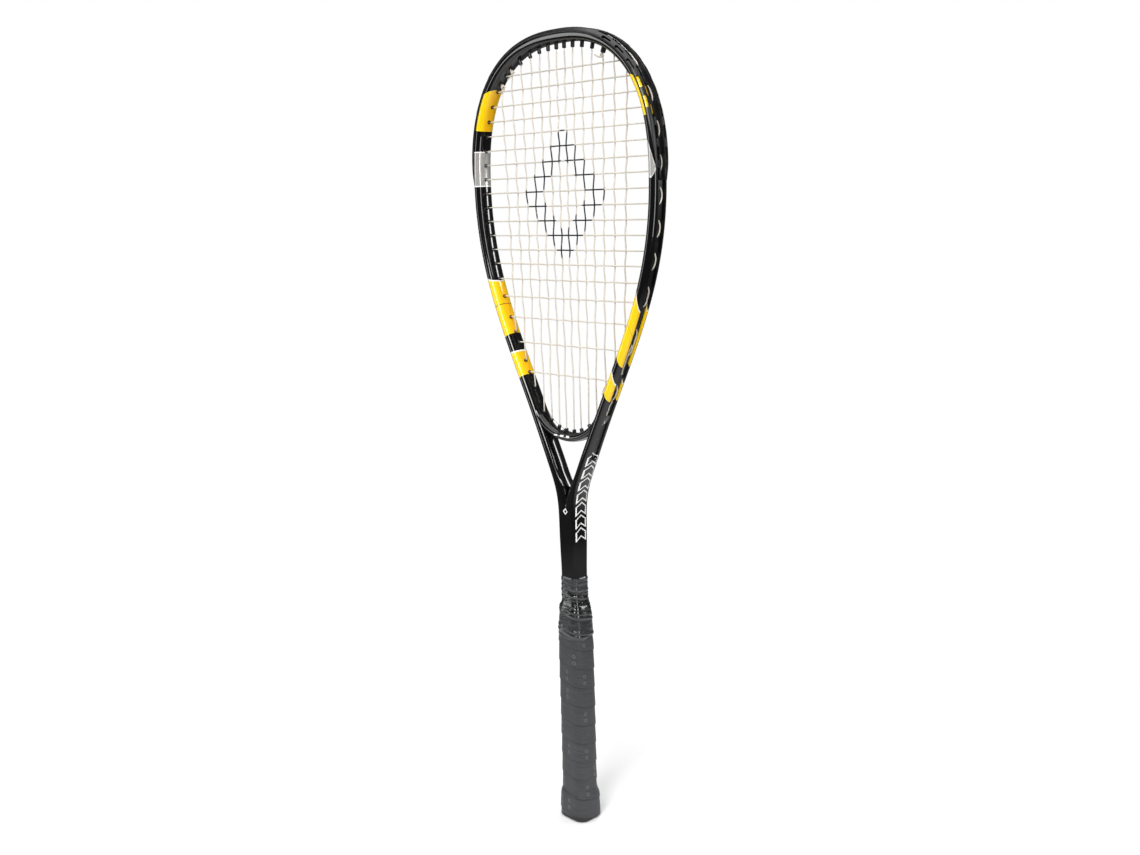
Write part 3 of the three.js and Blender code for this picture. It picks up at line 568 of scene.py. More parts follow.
    base = paint(tree, tuple(colours.lacquer), yellow_tone, yellow)
    base = paint(tree, base, silver_tone, silver)
    base = paint(tree, base, tuple(colours.outline), either(lines, dashes, column, lozenge, ticks))
    base = paint(tree, base, linear("#2B2005"), seam_left)
    base = paint(tree, base, tuple(colours.orange), seam_right)

    # Orange peel in the clear coat, about 3 mm across, and hairline scuffs that dull it.
    peel = add_node(tree, "ShaderNodeTexNoise", Vector=place, Scale=0.35, Detail=1.0).outputs["Fac"]
    scuff = add_node(
        tree, "ShaderNodeTexNoise", Scale=0.9, Detail=6.0, Roughness=0.7,
        Vector=add_node(
            tree, "ShaderNodeVectorMath", {"operation": "MULTIPLY"}, in_0=place,
            in_1=(1.0, 1.0, 0.12)
        ).outputs[0],
    ).outputs["Fac"]
    roughness = add_node(
        tree, "ShaderNodeMapRange", Value=scuff, From_Min=0.45, From_Max=0.8, To_Min=0.16,
        To_Max=0.3
    ).outputs[0]
    metallic = calc(tree, "MULTIPLY", silver, 0.35)
    connect(
        tree, shader, Base_Color=base, Roughness=roughness, Metallic=metallic, IOR=1.5,
        Specular_IOR_Level=0.12, Coat_Weight=1.0, Coat_Roughness=0.05,
        Normal=bump(tree, peel, 0.012),
    )
    return material


def guard_nylon(colours):
    """Injection-moulded nylon: satin black with a fine moulded texture and lighter scuffs scattered
    over it."""
    material, tree, shader, place = new_material("moulded_nylon")
    grit = add_node(tree, "ShaderNodeTexNoise", Vector=place, Scale=2.4, Detail=2.0).outputs["Fac"]
    wear = add_node(
        tree, "ShaderNodeTexNoise", Vector=place, Scale=0.12, Detail=5.0, Roughness=0.65
    ).outputs["Fac"]
    worn = add_node(
        tree, "ShaderNodeMapRange", Value=wear, From_Min=0.52, From_Max=0.75, To_Max=0.5
    ).outputs[0]
    base = paint(tree, tuple(colours.nylon), linear("#26272A"), worn)
    roughness = add_node(
        tree, "ShaderNodeMapRange", Value=wear, From_Min=0.3, From_Max=0.7, To_Min=0.26, To_Max=0.42
    ).outputs[0]
    connect(
        tree, shader, Base_Color=base, Roughness=roughness, IOR=1.53, Normal=bump(tree, grit, 0.03)
    )
    return material


def string_nylon(colours):
    """Extruded multifilament nylon: warm white, slightly see-through, with a fine twist of about
    1 mm pitch, and a plain open lozenge inked over the middle of the bed."""
    material, tree, shader, place = new_material("multifilament_nylon")
    x, _, z = add_node(tree, "ShaderNodeSeparateXYZ", Vector=place).outputs
    along = add_node(tree, "ShaderNodeAttribute", {"attribute_name": "along"}).outputs["Fac"]
    twist = add_node(
        tree, "ShaderNodeTexWave", {"wave_type": "BANDS", "bands_direction": "X"}, Scale=0.32,
        Vector=add_node(tree, "ShaderNodeCombineXYZ", X=along).outputs[0],
    ).outputs["Fac"]
    across = calc(tree, "DIVIDE", calc(tree, "ABSOLUTE", x), 50.0)
    upright = calc(tree, "DIVIDE", calc(tree, "ABSOLUTE", calc(tree, "SUBTRACT", z, 553.0)), 56.0)
    lozenge = calc(tree, "ADD", across, upright)
    spots = add_node(tree, "ShaderNodeTexNoise", Vector=place, Scale=0.5, Detail=3.0).outputs["Fac"]
    ink = between(tree, lozenge, 0.56, 1.0, 0.015)
    solid = add_node(
        tree, "ShaderNodeMapRange", Value=spots, From_Min=0.26, From_Max=0.34, To_Min=0.0,
        To_Max=1.0
    ).outputs[0]
    ink = calc(tree, "MULTIPLY", ink, solid)
    tone = paint(
        tree, tuple(colours.string), linear("#CFC5B4"), calc(tree, "MULTIPLY", twist, 0.35)
    )
    base = paint(tree, tone, tuple(colours.stencil), ink)
    connect(
        tree, shader, Base_Color=base, Roughness=0.34, IOR=1.53, Subsurface_Weight=0.12,
        Subsurface_Radius=(0.4, 0.35, 0.28), Subsurface_Scale=0.001, Normal=bump(tree, twist, 0.03),
    )
    return material


def grip_tape(colours, sizes):
    """Polyurethane grip tape over felt: soft dark grey, almost matt, with fine stretch lines along
    the tape, punched holes in scattered groups, and a dark shadow at each overlap."""
    material, tree, shader, place = new_material("polyurethane_grip_tape")
    pitch = sizes.wrap_pitch / MM
    x, y, z = add_node(tree, "ShaderNodeSeparateXYZ", Vector=place).outputs
    swing = calc(tree, "DIVIDE", calc(tree, "ARCTAN2", y, x), 2 * math.pi)
    rise = calc(tree, "DIVIDE", calc(tree, "SUBTRACT", z, WRAP_BOTTOM_MM), pitch)
    turn = calc(tree, "ADD", rise, swing)
    across = calc(tree, "MULTIPLY", calc(tree, "FRACT", turn), pitch)
    along = calc(
        tree, "MULTIPLY", calc(tree, "SUBTRACT", calc(tree, "FLOOR", turn), swing), 92.0
    )
    strip = add_node(tree, "ShaderNodeCombineXYZ", X=along, Y=across).outputs[0]
    # Stretch lines run with the tape, about 0.7 mm apart.
    drawn = add_node(
        tree, "ShaderNodeTexNoise", Scale=1.0, Detail=4.0, Roughness=0.6,
        Vector=add_node(
            tree, "ShaderNodeVectorMath", {"operation": "MULTIPLY"}, in_0=strip,
            in_1=(0.05, 1.4, 1.0)
        ).outputs[0],
    ).outputs["Fac"]
    skin = add_node(tree, "ShaderNodeTexNoise", Vector=place, Scale=1.6, Detail=3.0).outputs["Fac"]
    blotch = add_node(
        tree, "ShaderNodeTexNoise", Vector=place, Scale=0.09, Detail=3.0
    ).outputs["Fac"]
    # Punched holes stand in pairs across the tape; most pairs are missing. Each hole is painted
    # darker as painted shade in its recess, and a lighter ring round it is a painted highlight
    # standing for a raised lip.
    gap = 9.2
    cell_u = calc(tree, "SUBTRACT", calc(tree, "FRACT", calc(tree, "DIVIDE", along, gap)), 0.5)
    off_u = calc(tree, "MULTIPLY", cell_u, gap)
    off_v = calc(tree, "SUBTRACT", calc(tree, "ABSOLUTE", calc(tree, "SUBTRACT", across, 8.2)), 3.0)
    reach = calc(
        tree, "SQRT",
        calc(
            tree, "ADD", calc(tree, "MULTIPLY", off_u, off_u), calc(tree, "MULTIPLY", off_v, off_v)
        ),
    )
    pair = add_node(
        tree, "ShaderNodeTexWhiteNoise", {"noise_dimensions": "1D"},
        W=calc(tree, "FLOOR", calc(tree, "DIVIDE", along, gap)),
    ).outputs["Value"]
    present = calc(tree, "GREATER_THAN", pair, 0.62)
    hole = calc(tree, "MULTIPLY", between(tree, reach, -1.0, 0.75, 0.2), present)
    rim = calc(tree, "MULTIPLY", between(tree, reach, 0.85, 1.5, 0.25), present)
    shade = between(tree, across, -1.0, 0.75, 0.25)
    stretch = add_node(
        tree, "ShaderNodeMapRange", Value=drawn, From_Min=0.32, From_Max=0.68
    ).outputs[0]
    base = paint(tree, tuple(colours.grip), linear("#434447"), stretch)
    base = paint(tree, base, linear("#242528"), calc(tree, "MULTIPLY", blotch, 0.5))
    # Painted highlight: a lighter ring round each hole, standing for light on a raised lip.
    base = paint(tree, base, linear("#6E7074"), calc(tree, "MULTIPLY", rim, 0.6))
    # Painted shade: each hole darkened, standing for shade in its recess.
    base = paint(tree, base, linear("#161719"), calc(tree, "MULTIPLY", hole, 0.75))
    base = paint(tree, base, linear("#0E0E10"), calc(tree, "MULTIPLY", shade, 0.85))
    height = calc(
        tree, "ADD", calc(tree, "MULTIPLY", drawn, 0.6), calc(tree, "MULTIPLY", skin, 0.4)
    )
    height = calc(tree, "SUBTRACT", height, hole)
    roughness = add_node(
        tree, "ShaderNodeMapRange", Value=skin, From_Min=0.3, From_Max=0.7, To_Min=0.5, To_Max=0.68
    ).outputs[0]
    connect(
        tree, shader, Base_Color=base, Roughness=roughness, IOR=1.48,
        Normal=bump(tree, height, 0.16),
        Sheen_Weight=0.08, Sheen_Roughness=0.5,
    )
    return material


def finishing_film(colours):
    """Stretched vinyl film: dark, glossy, creased round the shaft, with dull smears where the
    glue has lifted."""
    material, tree, shader, place = new_material("stretched_vinyl_film")
    bent = add_node(
        tree, "ShaderNodeTexNoise", Vector=place, Scale=0.07, Detail=2.0
    ).outputs["Color"]
    warped = add_node(
        tree, "ShaderNodeVectorMath", {"operation": "MULTIPLY_ADD"}, in_0=bent,
        in_1=(9.0, 9.0, 9.0), in_2=place
    ).outputs[0]
    crease = add_node(
        tree, "ShaderNodeTexNoise", Scale=1.0, Detail=3.0, Roughness=0.55,
        Vector=add_node(
            tree, "ShaderNodeVectorMath", {"operation": "MULTIPLY"}, in_0=warped,
            in_1=(0.05, 0.05, 0.2)
        ).outputs[0],
    ).outputs["Fac"]
    fine = add_node(tree, "ShaderNodeTexNoise", Vector=place, Scale=0.5, Detail=4.0).outputs["Fac"]
    z = add_node(tree, "ShaderNodeSeparateXYZ", Vector=place).outputs[2]
    dull = add_node(tree, "ShaderNodeMapRange", Value=fine, From_Min=0.42, From_Max=0.62).outputs[0]
    top = between(tree, z, 214.0, 240.0, 3.0)
    foot = between(tree, z, 160.0, 193.0, 5.0)
    matt = calc(tree, "MAXIMUM", top, calc(tree, "MULTIPLY", foot, 0.7))
    dull = calc(tree, "MAXIMUM", calc(tree, "MULTIPLY", dull, 0.6), matt)
    base = paint(tree, linear("#0C0D0F"), tuple(colours.film), dull)
    roughness = add_node(tree, "ShaderNodeMapRange", Value=dull, To_Min=0.1, To_Max=0.45).outputs[0]
    connect(
        tree, shader, Base_Color=base, Roughness=roughness, IOR=1.54,
        Normal=bump(tree, crease, 1.6),
        Coat_Weight=0.6, Coat_Roughness=0.05,
    )
    return material


def cap_plastic():
    """Injection-moulded ABS: black and glossy, with a soft moulded ripple."""
    material, tree, shader, place = new_material("moulded_abs")
    ripple = add_node(
        tree, "ShaderNodeTexNoise", Vector=place, Scale=0.16, Detail=2.0
    ).outputs["Fac"]
    grit = add_node(tree, "ShaderNodeTexNoise", Vector=place, Scale=3.0, Detail=2.0).outputs["Fac"]
    roughness = add_node(
        tree, "ShaderNodeMapRange", Value=grit, From_Min=0.3, From_Max=0.7, To_Min=0.14, To_Max=0.26
    ).outputs[0]
    connect(
        tree, shader, Base_Color=linear("#0B0B0D"), Roughness=roughness, IOR=1.54,
        Normal=bump(tree, ripple, 0.35),
    )
    return material


def pallet_foam():
    """Rigid polyurethane foam with a moulded skin: pale tan and matt, with pores under 1 mm."""
    material, tree, shader, place = new_material("rigid_polyurethane_foam")
    pores = add_node(tree, "ShaderNodeTexVoronoi", Vector=place, Scale=0.9).outputs["Distance"]
    base = paint(tree, linear("#B9AE95"), linear("#8F866F"), pores)
    connect(tree, shader, Base_Color=base, Roughness=0.85, Normal=bump(tree, pores, 0.2))
    return material


def staple_wire():
    """Zinc-plated staple wire: a bright grey metal with fine drawing lines."""
    material, tree, shader, place = new_material("zinc_plated_wire")
    lines = add_node(tree, "ShaderNodeTexNoise", Vector=place, Scale=3.0, Detail=2.0).outputs["Fac"]
    base = paint(tree, linear("#B4B6B9"), linear("#8E9195"), lines)
    connect(
        tree, shader, Base_Color=base, Roughness=0.35, Metallic=1.0, Normal=bump(tree, lines, 0.02)
    )
    return material


def studio_floor():
    """Seamless white paper, matt, with the faintest tooth. It thins out to nothing away from the
    racket, so that no horizon shows against the white room."""
    material, tree, shader, place = new_material("white_paper")
    tooth = add_node(
        tree, "ShaderNodeTexNoise", Vector=place, Scale=0.05, Detail=2.0
    ).outputs["Fac"]
    base = paint(tree, linear("#FBFBFB"), linear("#F8F8F8"), tooth)
    away = add_node(tree, "ShaderNodeVectorMath", {"operation": "LENGTH"}, in_0=place).outputs[1]
    cover = add_node(
        tree, "ShaderNodeMapRange", {"interpolation_type": "SMOOTHSTEP"}, Value=away,
        From_Min=160.0, From_Max=900.0, To_Min=1.0, To_Max=0.0,
    ).outputs[0]
    connect(tree, shader, Base_Color=base, Roughness=0.95, Alpha=cover)
    return material


# ---- Frame ---------------------------------------------------------------------------------------

SHAFT_HALF = (4.7, 8.5)
SHAFT_CHAMFER_MM = 2.4


def half_octagon(angle, half_width, half_depth, inner, chamfer):
    """Where a ray at this angle leaves half of the shaft's section, which ends at inner."""
    c, s = math.cos(angle), abs(math.sin(angle))
    reaches = []
    if c > 1e-9:
        reaches.append(half_width / c)
    if c < -1e-9:
        reaches.append(inner / -c)
    if s > 1e-9:
        reaches.append(half_depth / s)
    if c + s > 1e-9:
        reaches.append((half_width + half_depth - chamfer) / (c + s))
    reach = min(reaches)
    return Vector((reach * math.cos(angle), reach * math.sin(angle)))


def groove_half(z):
    """Half the groove's width at a height: its end is round."""
    start = GROOVE_START_MM
    radius = GROOVE_WIDTH_MM / 2
    if z <= start:
        return 0.0
    if z >= start + radius:
        return radius
    return math.sqrt(radius**2 - (start + radius - z) ** 2)


def frame_ring(run):
    """The tube's section at a distance along the hairpin, in (outward, depth), in millimetres."""
    point, _ = HAIRPIN.at(run)
    z = point.y
    width, depth = tube_size(z)
    half = groove_half(z)
    cut = GROOVE_DEPTH_MM * min(half / 2.6, 1.0)
    lip = 0.35 * min(half / 2.0, 1.0)
    edge = oval_edge(depth, half + lip)
    to_oval = smooth(z, 268.0, 322.0)
    growth = smooth(z, 226.0, 268.0)
    half_width = SHAFT_HALF[0] + 0.9 * growth
    half_depth = SHAFT_HALF[1] + 0.3 * growth
    inner = point.x + 2.5
    points = []
    count = 60
    for i in range(count + 1):
        angle = edge + (2 * math.pi - 2 * edge) * i / count
        rounded = oval(width, depth, angle)
        if to_oval < 1:
            squared = half_octagon(angle, half_width, half_depth, inner, SHAFT_CHAMFER_MM)
            rounded = squared.lerp(rounded, to_oval)
        points.append(rounded)
    x = oval(width, depth, edge).x if to_oval >= 1 else points[0].x
    floor = x - cut
    taper = 0.4 * min(half / 2.0, 1.0)
    points += [
        Vector((x - lip, -half)),
        Vector((floor + 0.3 * min(cut, 1.0), -(half - taper))),
        Vector((floor, -max(half - taper - 0.4, 0.0))),
        Vector((floor, max(half - taper - 0.4, 0.0))),
        Vector((floor + 0.3 * min(cut, 1.0), half - taper)),
        Vector((x - lip, half)),
    ]
    return points


def spaced_runs():
    """Distances along the hairpin: finer in the throat and at the groove's end."""
    throat = HAIRPIN.run_where(height_of, 255.0)
    arms = HAIRPIN.run_where(height_of, 345.0)
    runs = [throat * i / 34 for i in range(34)]
    runs += [mix(throat, arms, i / 110) for i in range(110)]
    rest = round((HAIRPIN.length - arms) / 1.7)
    runs += [mix(arms, HAIRPIN.length, i / rest) for i in range(rest + 1)]
    return runs


def place_ring(spine, run, ring):
    point, normal = spine.at(run)
    return [(point.x + normal.x * p.x, p.y, point.y + normal.y * p.x) for p in ring]


def write_outward(mesh, spine):
    """Stores how far each point lies out from the centre line, in millimetres, as an attribute."""
    tree = KDTree(len(spine.points))
    for i, p in enumerate(spine.points):
        tree.insert((p.x * MM, 0.0, p.y * MM), i)
    tree.balance()
    store = mesh.attributes.new("outward", "FLOAT", "POINT")
    for vertex in mesh.vertices:
        flat = Vector((abs(vertex.co.x), 0.0, vertex.co.z))
        _, i, _ = tree.find(flat)
        p, n = spine.points[i], spine.normals[i]
        away = (flat.x / MM - p.x) * n.x + (flat.z / MM - p.y) * n.y
        store.data[vertex.index].value = away


def make_frame(material):
    rings = [place_ring(HAIRPIN, run, frame_ring(run)) for run in spaced_runs()]
    mesh = mesh_from("frame_tube", *loft(rings, close_last=False))
    tidy_mesh(mesh, mirror=True)
    write_outward(mesh, HAIRPIN)
    return new_piece("frame_tube", mesh, material, 38.0)


def bridge_ring(run):
    """The bridge's section: a full oval that widens towards its ends."""
    flare = smooth(run, 30.0, 50.0)
    width = BRIDGE_WIDTH_MM + 1.4 * flare
    depth = BRIDGE_DEPTH_MM + 0.6 * flare
    return [oval(width, depth, 2 * math.pi * i / 56, 2.3) for i in range(56)]


def make_bridge(material):
    runs = [BRIDGE.length * i / 64 for i in range(65)]
    rings = [place_ring(BRIDGE, run, bridge_ring(run)) for run in runs]
    mesh = mesh_from("throat_bridge_bar", *loft(rings, close_first=False))
    tidy_mesh(mesh, mirror=True)
    store = mesh.attributes.new("outward", "FLOAT", "POINT")
    for vertex in mesh.vertices:
        store.data[vertex.index].value = 0.0
    return new_piece("throat_bridge_bar", mesh, material, 45.0)


# ---- Bumper guard --------------------------------------------------------------------------------


def bumper_profile(run):
    """Half of the guard's section from its channel floor over the lip and down the flange.

    Returns the outer line and the inner line, in (outward, depth), in millimetres.
    """
    z = HAIRPIN.at(run)[0].y
    full = smooth(z, BUMPER_END_MM, BUMPER_FLANGE_MM)
    reach = mix(0.30, 1.0, full)
    edge = oval_edge(HOOP_DEPTH_MM, GROOVE_WIDTH_MM / 2)
    last = mix(edge, math.radians(78.0), reach)
    x = oval(HOOP_WIDTH_MM, HOOP_DEPTH_MM, edge).x
    floor = x - GROOVE_DEPTH_MM + 0.3
    inner = [(floor, 0.0), (floor, 3.0), (floor + 1.2, 3.1), (x - 0.2, 3.35)]
    outer = [(floor + 0.8, 0.0), (floor + 0.8, 2.2), (floor + 1.4, 2.45), (x + 0.9, 2.6)]
    inner, outer = [Vector(p) for p in inner], [Vector(p) for p in outer]
    # The guard thins towards its tail.
    thick = smooth(z, BUMPER_END_MM - 4.0, BUMPER_END_MM + 14.0)
    steps = 14
    for i in range(steps + 1):
        angle = mix(edge, last, i / steps)
        under = oval(HOOP_WIDTH_MM + 0.5, HOOP_DEPTH_MM + 0.5, angle)
        grow = 3.2 if i else 2.9
        # The free edge is rounded over and thins to a lip.
        if i == steps:
            grow = 2.0
        elif i == steps - 1:
            grow = 2.9
        grow = mix(0.8, grow, thick)
        over = oval(HOOP_WIDTH_MM + grow, HOOP_DEPTH_MM + grow, angle)
        inner.append(under)
        outer.append(over)
    return outer, inner


def make_bumper(material, sizes):
    start = HAIRPIN.run_where(height_of, BUMPER_END_MM)
    count = round((HAIRPIN.length - start) / 1.3)
    rings = []
    for i in range(count + 1):
        run = mix(start, HAIRPIN.length, i / count)
        outer, inner = bumper_profile(run)
        front = [Vector((p.x, -p.y)) for p in outer[1:]][::-1] + outer
        back = inner[::-1] + [Vector((p.x, -p.y)) for p in inner[1:]]
        rings.append(place_ring(HAIRPIN, run, front + back))
    mesh = mesh_from("bumper", *loft(rings, close_last=False))
    tidy_mesh(mesh, mirror=True)
    piece = new_piece("bumper_shell", mesh, material)

    cutters = bpy.data.objects.new("slot_cutters", slot_cutters(sizes))
    bpy.context.scene.collection.objects.link(cutters)
    cut = piece.modifiers.new("slots", "BOOLEAN")
    cut.operation = "DIFFERENCE"
    cut.solver = "EXACT"
    cut.object = cutters
    shaped = plain_copy(piece, "bumper_shell")
    bpy.data.objects.remove(cutters)
    tidy = shaped.data
    for face in tidy.polygons:
        face.use_smooth = True
    tidy.set_sharp_from_angle(angle=math.radians(35))
    tidy.materials.clear()
    tidy.materials.append(material)
    return shaped


SLOT_START_MM = 566.0
SLOT_PITCH_MM = 15.5


def slot_cutters(sizes):
    """Rounded oblong prisms in two staggered rows on each flange, on both sides of the head."""
    verts, faces = [], []
    length, width = sizes.slot_length / MM, sizes.slot_width / MM
    first = HAIRPIN.run_where(height_of, SLOT_START_MM)
    rows = ((3.15, 0.0), (6.0, SLOT_PITCH_MM / 2))
    for row_depth, shift in rows:
        run = first + shift
        while run < HAIRPIN.length - 12.0:
            z = HAIRPIN.at(run)[0].y
            deep_enough = row_depth < 4.0 or z > 606.0
            if deep_enough and z < 672.0:
                for mirror_x in (1, -1):
                    for mirror_y in (1, -1):
                        add_slot(
                            verts, faces, run, row_depth + 1.2, length, width, mirror_x, mirror_y
                        )
            run += SLOT_PITCH_MM
    mesh = mesh_from("slot_cutters", verts, faces)
    tidy_mesh(mesh, merge_mm=0.0001)
    return mesh


def add_slot(verts, faces, run, y, length, width, mirror_x, mirror_y):
    point, normal = HAIRPIN.at(run)
    along = Vector((-normal.y, normal.x))
    angle = math.asin(min((2 * y / HOOP_DEPTH_MM) ** (OVAL_FULLNESS / 2), 1.0))
    surface = oval(HOOP_WIDTH_MM + 1.6, HOOP_DEPTH_MM + 1.6, angle)
    ahead = oval(
        HOOP_WIDTH_MM, HOOP_DEPTH_MM, angle + 0.05
    ) - oval(HOOP_WIDTH_MM, HOOP_DEPTH_MM, angle - 0.05)
    ahead.normalize()
    out = Vector((ahead.y, -ahead.x))
    ring = []
    for end in (1, -1):
        for i in range(7):
            turn = math.pi * (i / 6 - 0.5)
            u = end * (length / 2 - width / 2 + width / 2 * math.cos(turn))
            v = end * width / 2 * math.sin(turn)
            ring.append((u, v))
    base = len(verts)
    for level in (-0.95, 2.2):
        for u, v in ring:
            section = surface + ahead * v + out * level
            x = point.x + normal.x * section.x + along.x * u
            z = point.y + normal.y * section.x + along.y * u
            verts.append((x * mirror_x, section.y * mirror_y, z))
    count = len(ring)
    faces.append(tuple(base + i for i in range(count)))
    faces.append(tuple(base + count + i for i in range(count))[::-1])
    for i in range(count):
        j = (i + 1) % count
        faces.append((base + i, base + count + i, base + count + j, base + j))


# ---- String pattern ------------------------------------------------------------------------------

MAINS_PER_SIDE = 7
INNER_MAIN_MM = 4.5
MAIN_WIDENING = 0.0386

# Mains are numbered outwards from the middle, and those on the left are negative.
MAIN_TIES = (-6, 5)
CROSS_TOP_TIE, CROSS_FOOT_TIE = -7, 5


def main_offsets(spread):
    """How far each main on one side lies from the middle: the gaps widen towards the tube."""
    outermost = spread * (HALF_WIDTH_MM - HOOP_WIDTH_MM / 2)
    last = MAINS_PER_SIDE - 1

    def share(k):
        return (k + MAIN_WIDENING * k * k) / (last + MAIN_WIDENING * last * last)

    return [
        INNER_MAIN_MM + (outermost - INNER_MAIN_MM) * share(k) for k in range(MAINS_PER_SIDE)
    ]


def cross_heights():
    gaps = [1 + 0.085 * max(j - 13, 0) ** 1.6 for j in range(1, 19)]
    top = TIP_MM - HOOP_WIDTH_MM / 2 - 20.3
    bottom = BRIDGE_MM + BRIDGE_WIDTH_MM / 2 + 48.7
    unit = (top - bottom) / sum(gaps)
    heights = [top]
    for gap in gaps:
        heights.append(heights[-1] - gap * unit)
    return heights


class Barrel:
    """A grommet across the tube: side is +1 or -1, and run is its place along the spine."""

    def __init__(self, spine, side, run, mouth, tie=False):
        self.spine, self.side, self.run, self.mouth, self.tie = spine, side, run, mouth, tie

    def point(self, out, y=0.0):
        p, n = self.spine.at(self.run)
        return Vector((self.side * (p.x + n.x * out), y, p.y + n.y * out))

    def floor(self):
        """How far out the groove's floor is at this grommet."""
        return groove_floor(self.spine, self.spine.at(self.run)[0].y)


def hoop_barrel(side, axis, value, low, high, protrusion, tie=False):
    def place(point, normal):
        width = tube_size(point.y)[0]
        return abs(point[axis] - normal[axis] * (width / 2 + protrusion))

    run = HAIRPIN.run_where(place, value, low, high)
    width = tube_size(HAIRPIN.at(run)[0].y)[0]
    return Barrel(HAIRPIN, side, run, -(width / 2 + protrusion), tie)


def bridge_barrel(side, value):
    def place(point, normal):
        return point.x - normal.x * (BRIDGE_WIDTH_MM / 2 + 3)

    run = BRIDGE.run_where(place, value)
    return Barrel(BRIDGE, side, run, -(BRIDGE_WIDTH_MM / 2 + 3))


def make_pattern():
    """The main strings from left to right and the crosses from the top down, as barrel pairs."""
    widest = HAIRPIN.run_where(height_of, WIDEST_MM)
    low = HAIRPIN.run_where(height_of, ARM_TOP[1])
    tops, bottoms = main_offsets(0.745), main_offsets(0.665)
    mains = {}
    for side in (-1, 1):
        for k in range(MAINS_PER_SIDE):
            order = side * (k + 1)
            protrusion = 4.5 if k < 5 else 1.0
            tied = order in (*MAIN_TIES, CROSS_TOP_TIE)
            top = hoop_barrel(side, 0, tops[k], widest, HAIRPIN.length, protrusion, tied)
            if k < 3:
                bottom = bridge_barrel(side, bottoms[k])
            else:
                bottom = hoop_barrel(side, 0, bottoms[k], low, widest, 1.0, order == CROSS_FOOT_TIE)
            mains[order] = (top, bottom)
    crosses = []
    for z in cross_heights():
        pair = [hoop_barrel(side, 1, z, low, HAIRPIN.length, 1.0) for side in (-1, 1)]
        crosses.append(pair)
    return mains, crosses


MAINS, CROSSES = make_pattern()


# ---- Grommets ------------------------------------------------------------------------------------


def lathe(profile, sides):
    """A closed solid of revolution about Z, from (radius, height) corners in order."""
    verts, faces = [], []
    for i in range(sides):
        angle = 2 * math.pi * i / sides
        verts += [Vector((r * math.cos(angle), r * math.sin(angle), h)) for r, h in profile]
    count = len(profile)
    for i in range(sides):
        j = (i + 1) % sides
        for k in range(count):
            m = (k + 1) % count
            faces.append((i * count + k, j * count + k, j * count + m, i * count + m))
    return verts, faces


def grommet_mesh(bore, wall):
    """One grommet of unit height, its rounded mouth at the top."""
    profile = [
        (bore, 0.0),
        (bore, 0.93),
        (bore + 0.25 * wall, 0.985),
        (bore + 0.6 * wall, 1.0),
        (bore + 0.92 * wall, 0.97),
        (bore + wall, 0.88),
        (bore + wall, 0.0),
    ]
    verts, faces = lathe(profile, 16)
    mesh = bpy.data.meshes.new("grommet")
    mesh.from_pydata(verts, [], faces)
    tidy_mesh(mesh, merge_mm=0.00001)
    return mesh


def grommet_tree():
    """Stands a grommet on each point, aimed and stretched by the point's attributes."""
    tree = bpy.data.node_groups.new("grommets_on_points", "GeometryNodeTree")
    tree.interface.new_socket("Geometry", in_out="INPUT", socket_type="NodeSocketGeometry")
    tree.interface.new_socket("Grommet", in_out="INPUT", socket_type="NodeSocketObject")
    tree.interface.new_socket("Material", in_out="INPUT", socket_type="NodeSocketMaterial")
    tree.interface.new_socket("Geometry", in_out="OUTPUT", socket_type="NodeSocketGeometry")
    start = add_node(tree, "NodeGroupInput")
    shape = add_node(tree, "GeometryNodeObjectInfo", Object=start.outputs["Grommet"])
    aim = add_node(
        tree, "GeometryNodeInputNamedAttribute", {"data_type": "FLOAT_VECTOR"}, Name="aim"
    )
    stretch = add_node(
        tree, "GeometryNodeInputNamedAttribute", {"data_type": "FLOAT_VECTOR"}, Name="stretch"
    )
    turned = add_node(
        tree, "FunctionNodeAlignRotationToVector", {"axis": "Z"}, Vector=aim.outputs["Attribute"]
    )
    stood = add_node(
        tree, "GeometryNodeInstanceOnPoints", Points=start.outputs["Geometry"],
        Instance=shape.outputs["Geometry"], Rotation=turned.outputs[0],
        Scale=stretch.outputs["Attribute"],
    )
    real = add_node(tree, "GeometryNodeRealizeInstances", Geometry=stood.outputs[0])
    covered = add_node(
        tree, "GeometryNodeSetMaterial", Geometry=real.outputs[0],
        Material=start.outputs["Material"]
    )
    add_node(tree, "NodeGroupOutput", Geometry=covered.outputs[0])
    return tree


def run_tree(piece, tree, values, name):
    """Runs a Geometry Nodes tree on a piece, with inputs by name, and returns the plain result."""
    modifier = piece.modifiers.new(tree.name, "NODES")
    modifier.node_group = tree
    for item in tree.interface.items_tree:
        if item.item_type == "SOCKET" and item.in_out == "INPUT" and item.name in values:
            modifier[item.identifier] = values[item.name]
    result = plain_copy(piece, name)
    result.data.materials.clear()
    result.data.materials.append(values["Material"])
    for face in result.data.polygons:
        face.use_smooth = True
        face.material_index = 0
    result.data.set_sharp_from_angle(angle=math.radians(40))
    return result


def strip_mesh(spine, side_runs, half_width, thickness):
    """A thin strip on the groove's floor along signed distances."""
    verts, faces = [], []
    for signed in side_runs:
        point, normal, side = signed_place(spine, signed)
        floor = groove_floor(spine, point.y)
        for x, y in (
            (0, -half_width), (thickness, -half_width), (thickness, half_width), (0, half_width)
        ):
            out = floor + 0.3 + x
            verts.append((side * (point.x + normal.x * out), y, point.y + normal.y * out))
    for i in range(len(side_runs) - 1):
        for k in range(4):
            m = (k + 1) % 4
            faces.append((i * 4 + k, i * 4 + m, i * 4 + 4 + m, i * 4 + 4 + k))
    faces.append((3, 2, 1, 0))
    last = 4 * (len(side_runs) - 1)
    faces.append((last, last + 1, last + 2, last + 3))
    return verts, faces


def groove_floor(spine, z):
    """How far out the groove's floor lies from a centre line."""
    if spine is BRIDGE:
        return oval(BRIDGE_WIDTH_MM, BRIDGE_DEPTH_MM, oval_edge(BRIDGE_DEPTH_MM, 3.8)).x - 2.6
    width, depth = tube_size(z)
    cut = GROOVE_DEPTH_MM * min(groove_half(z) / 2.6, 1.0)
    return oval(width, depth, oval_edge(depth, GROOVE_WIDTH_MM / 2)).x - cut


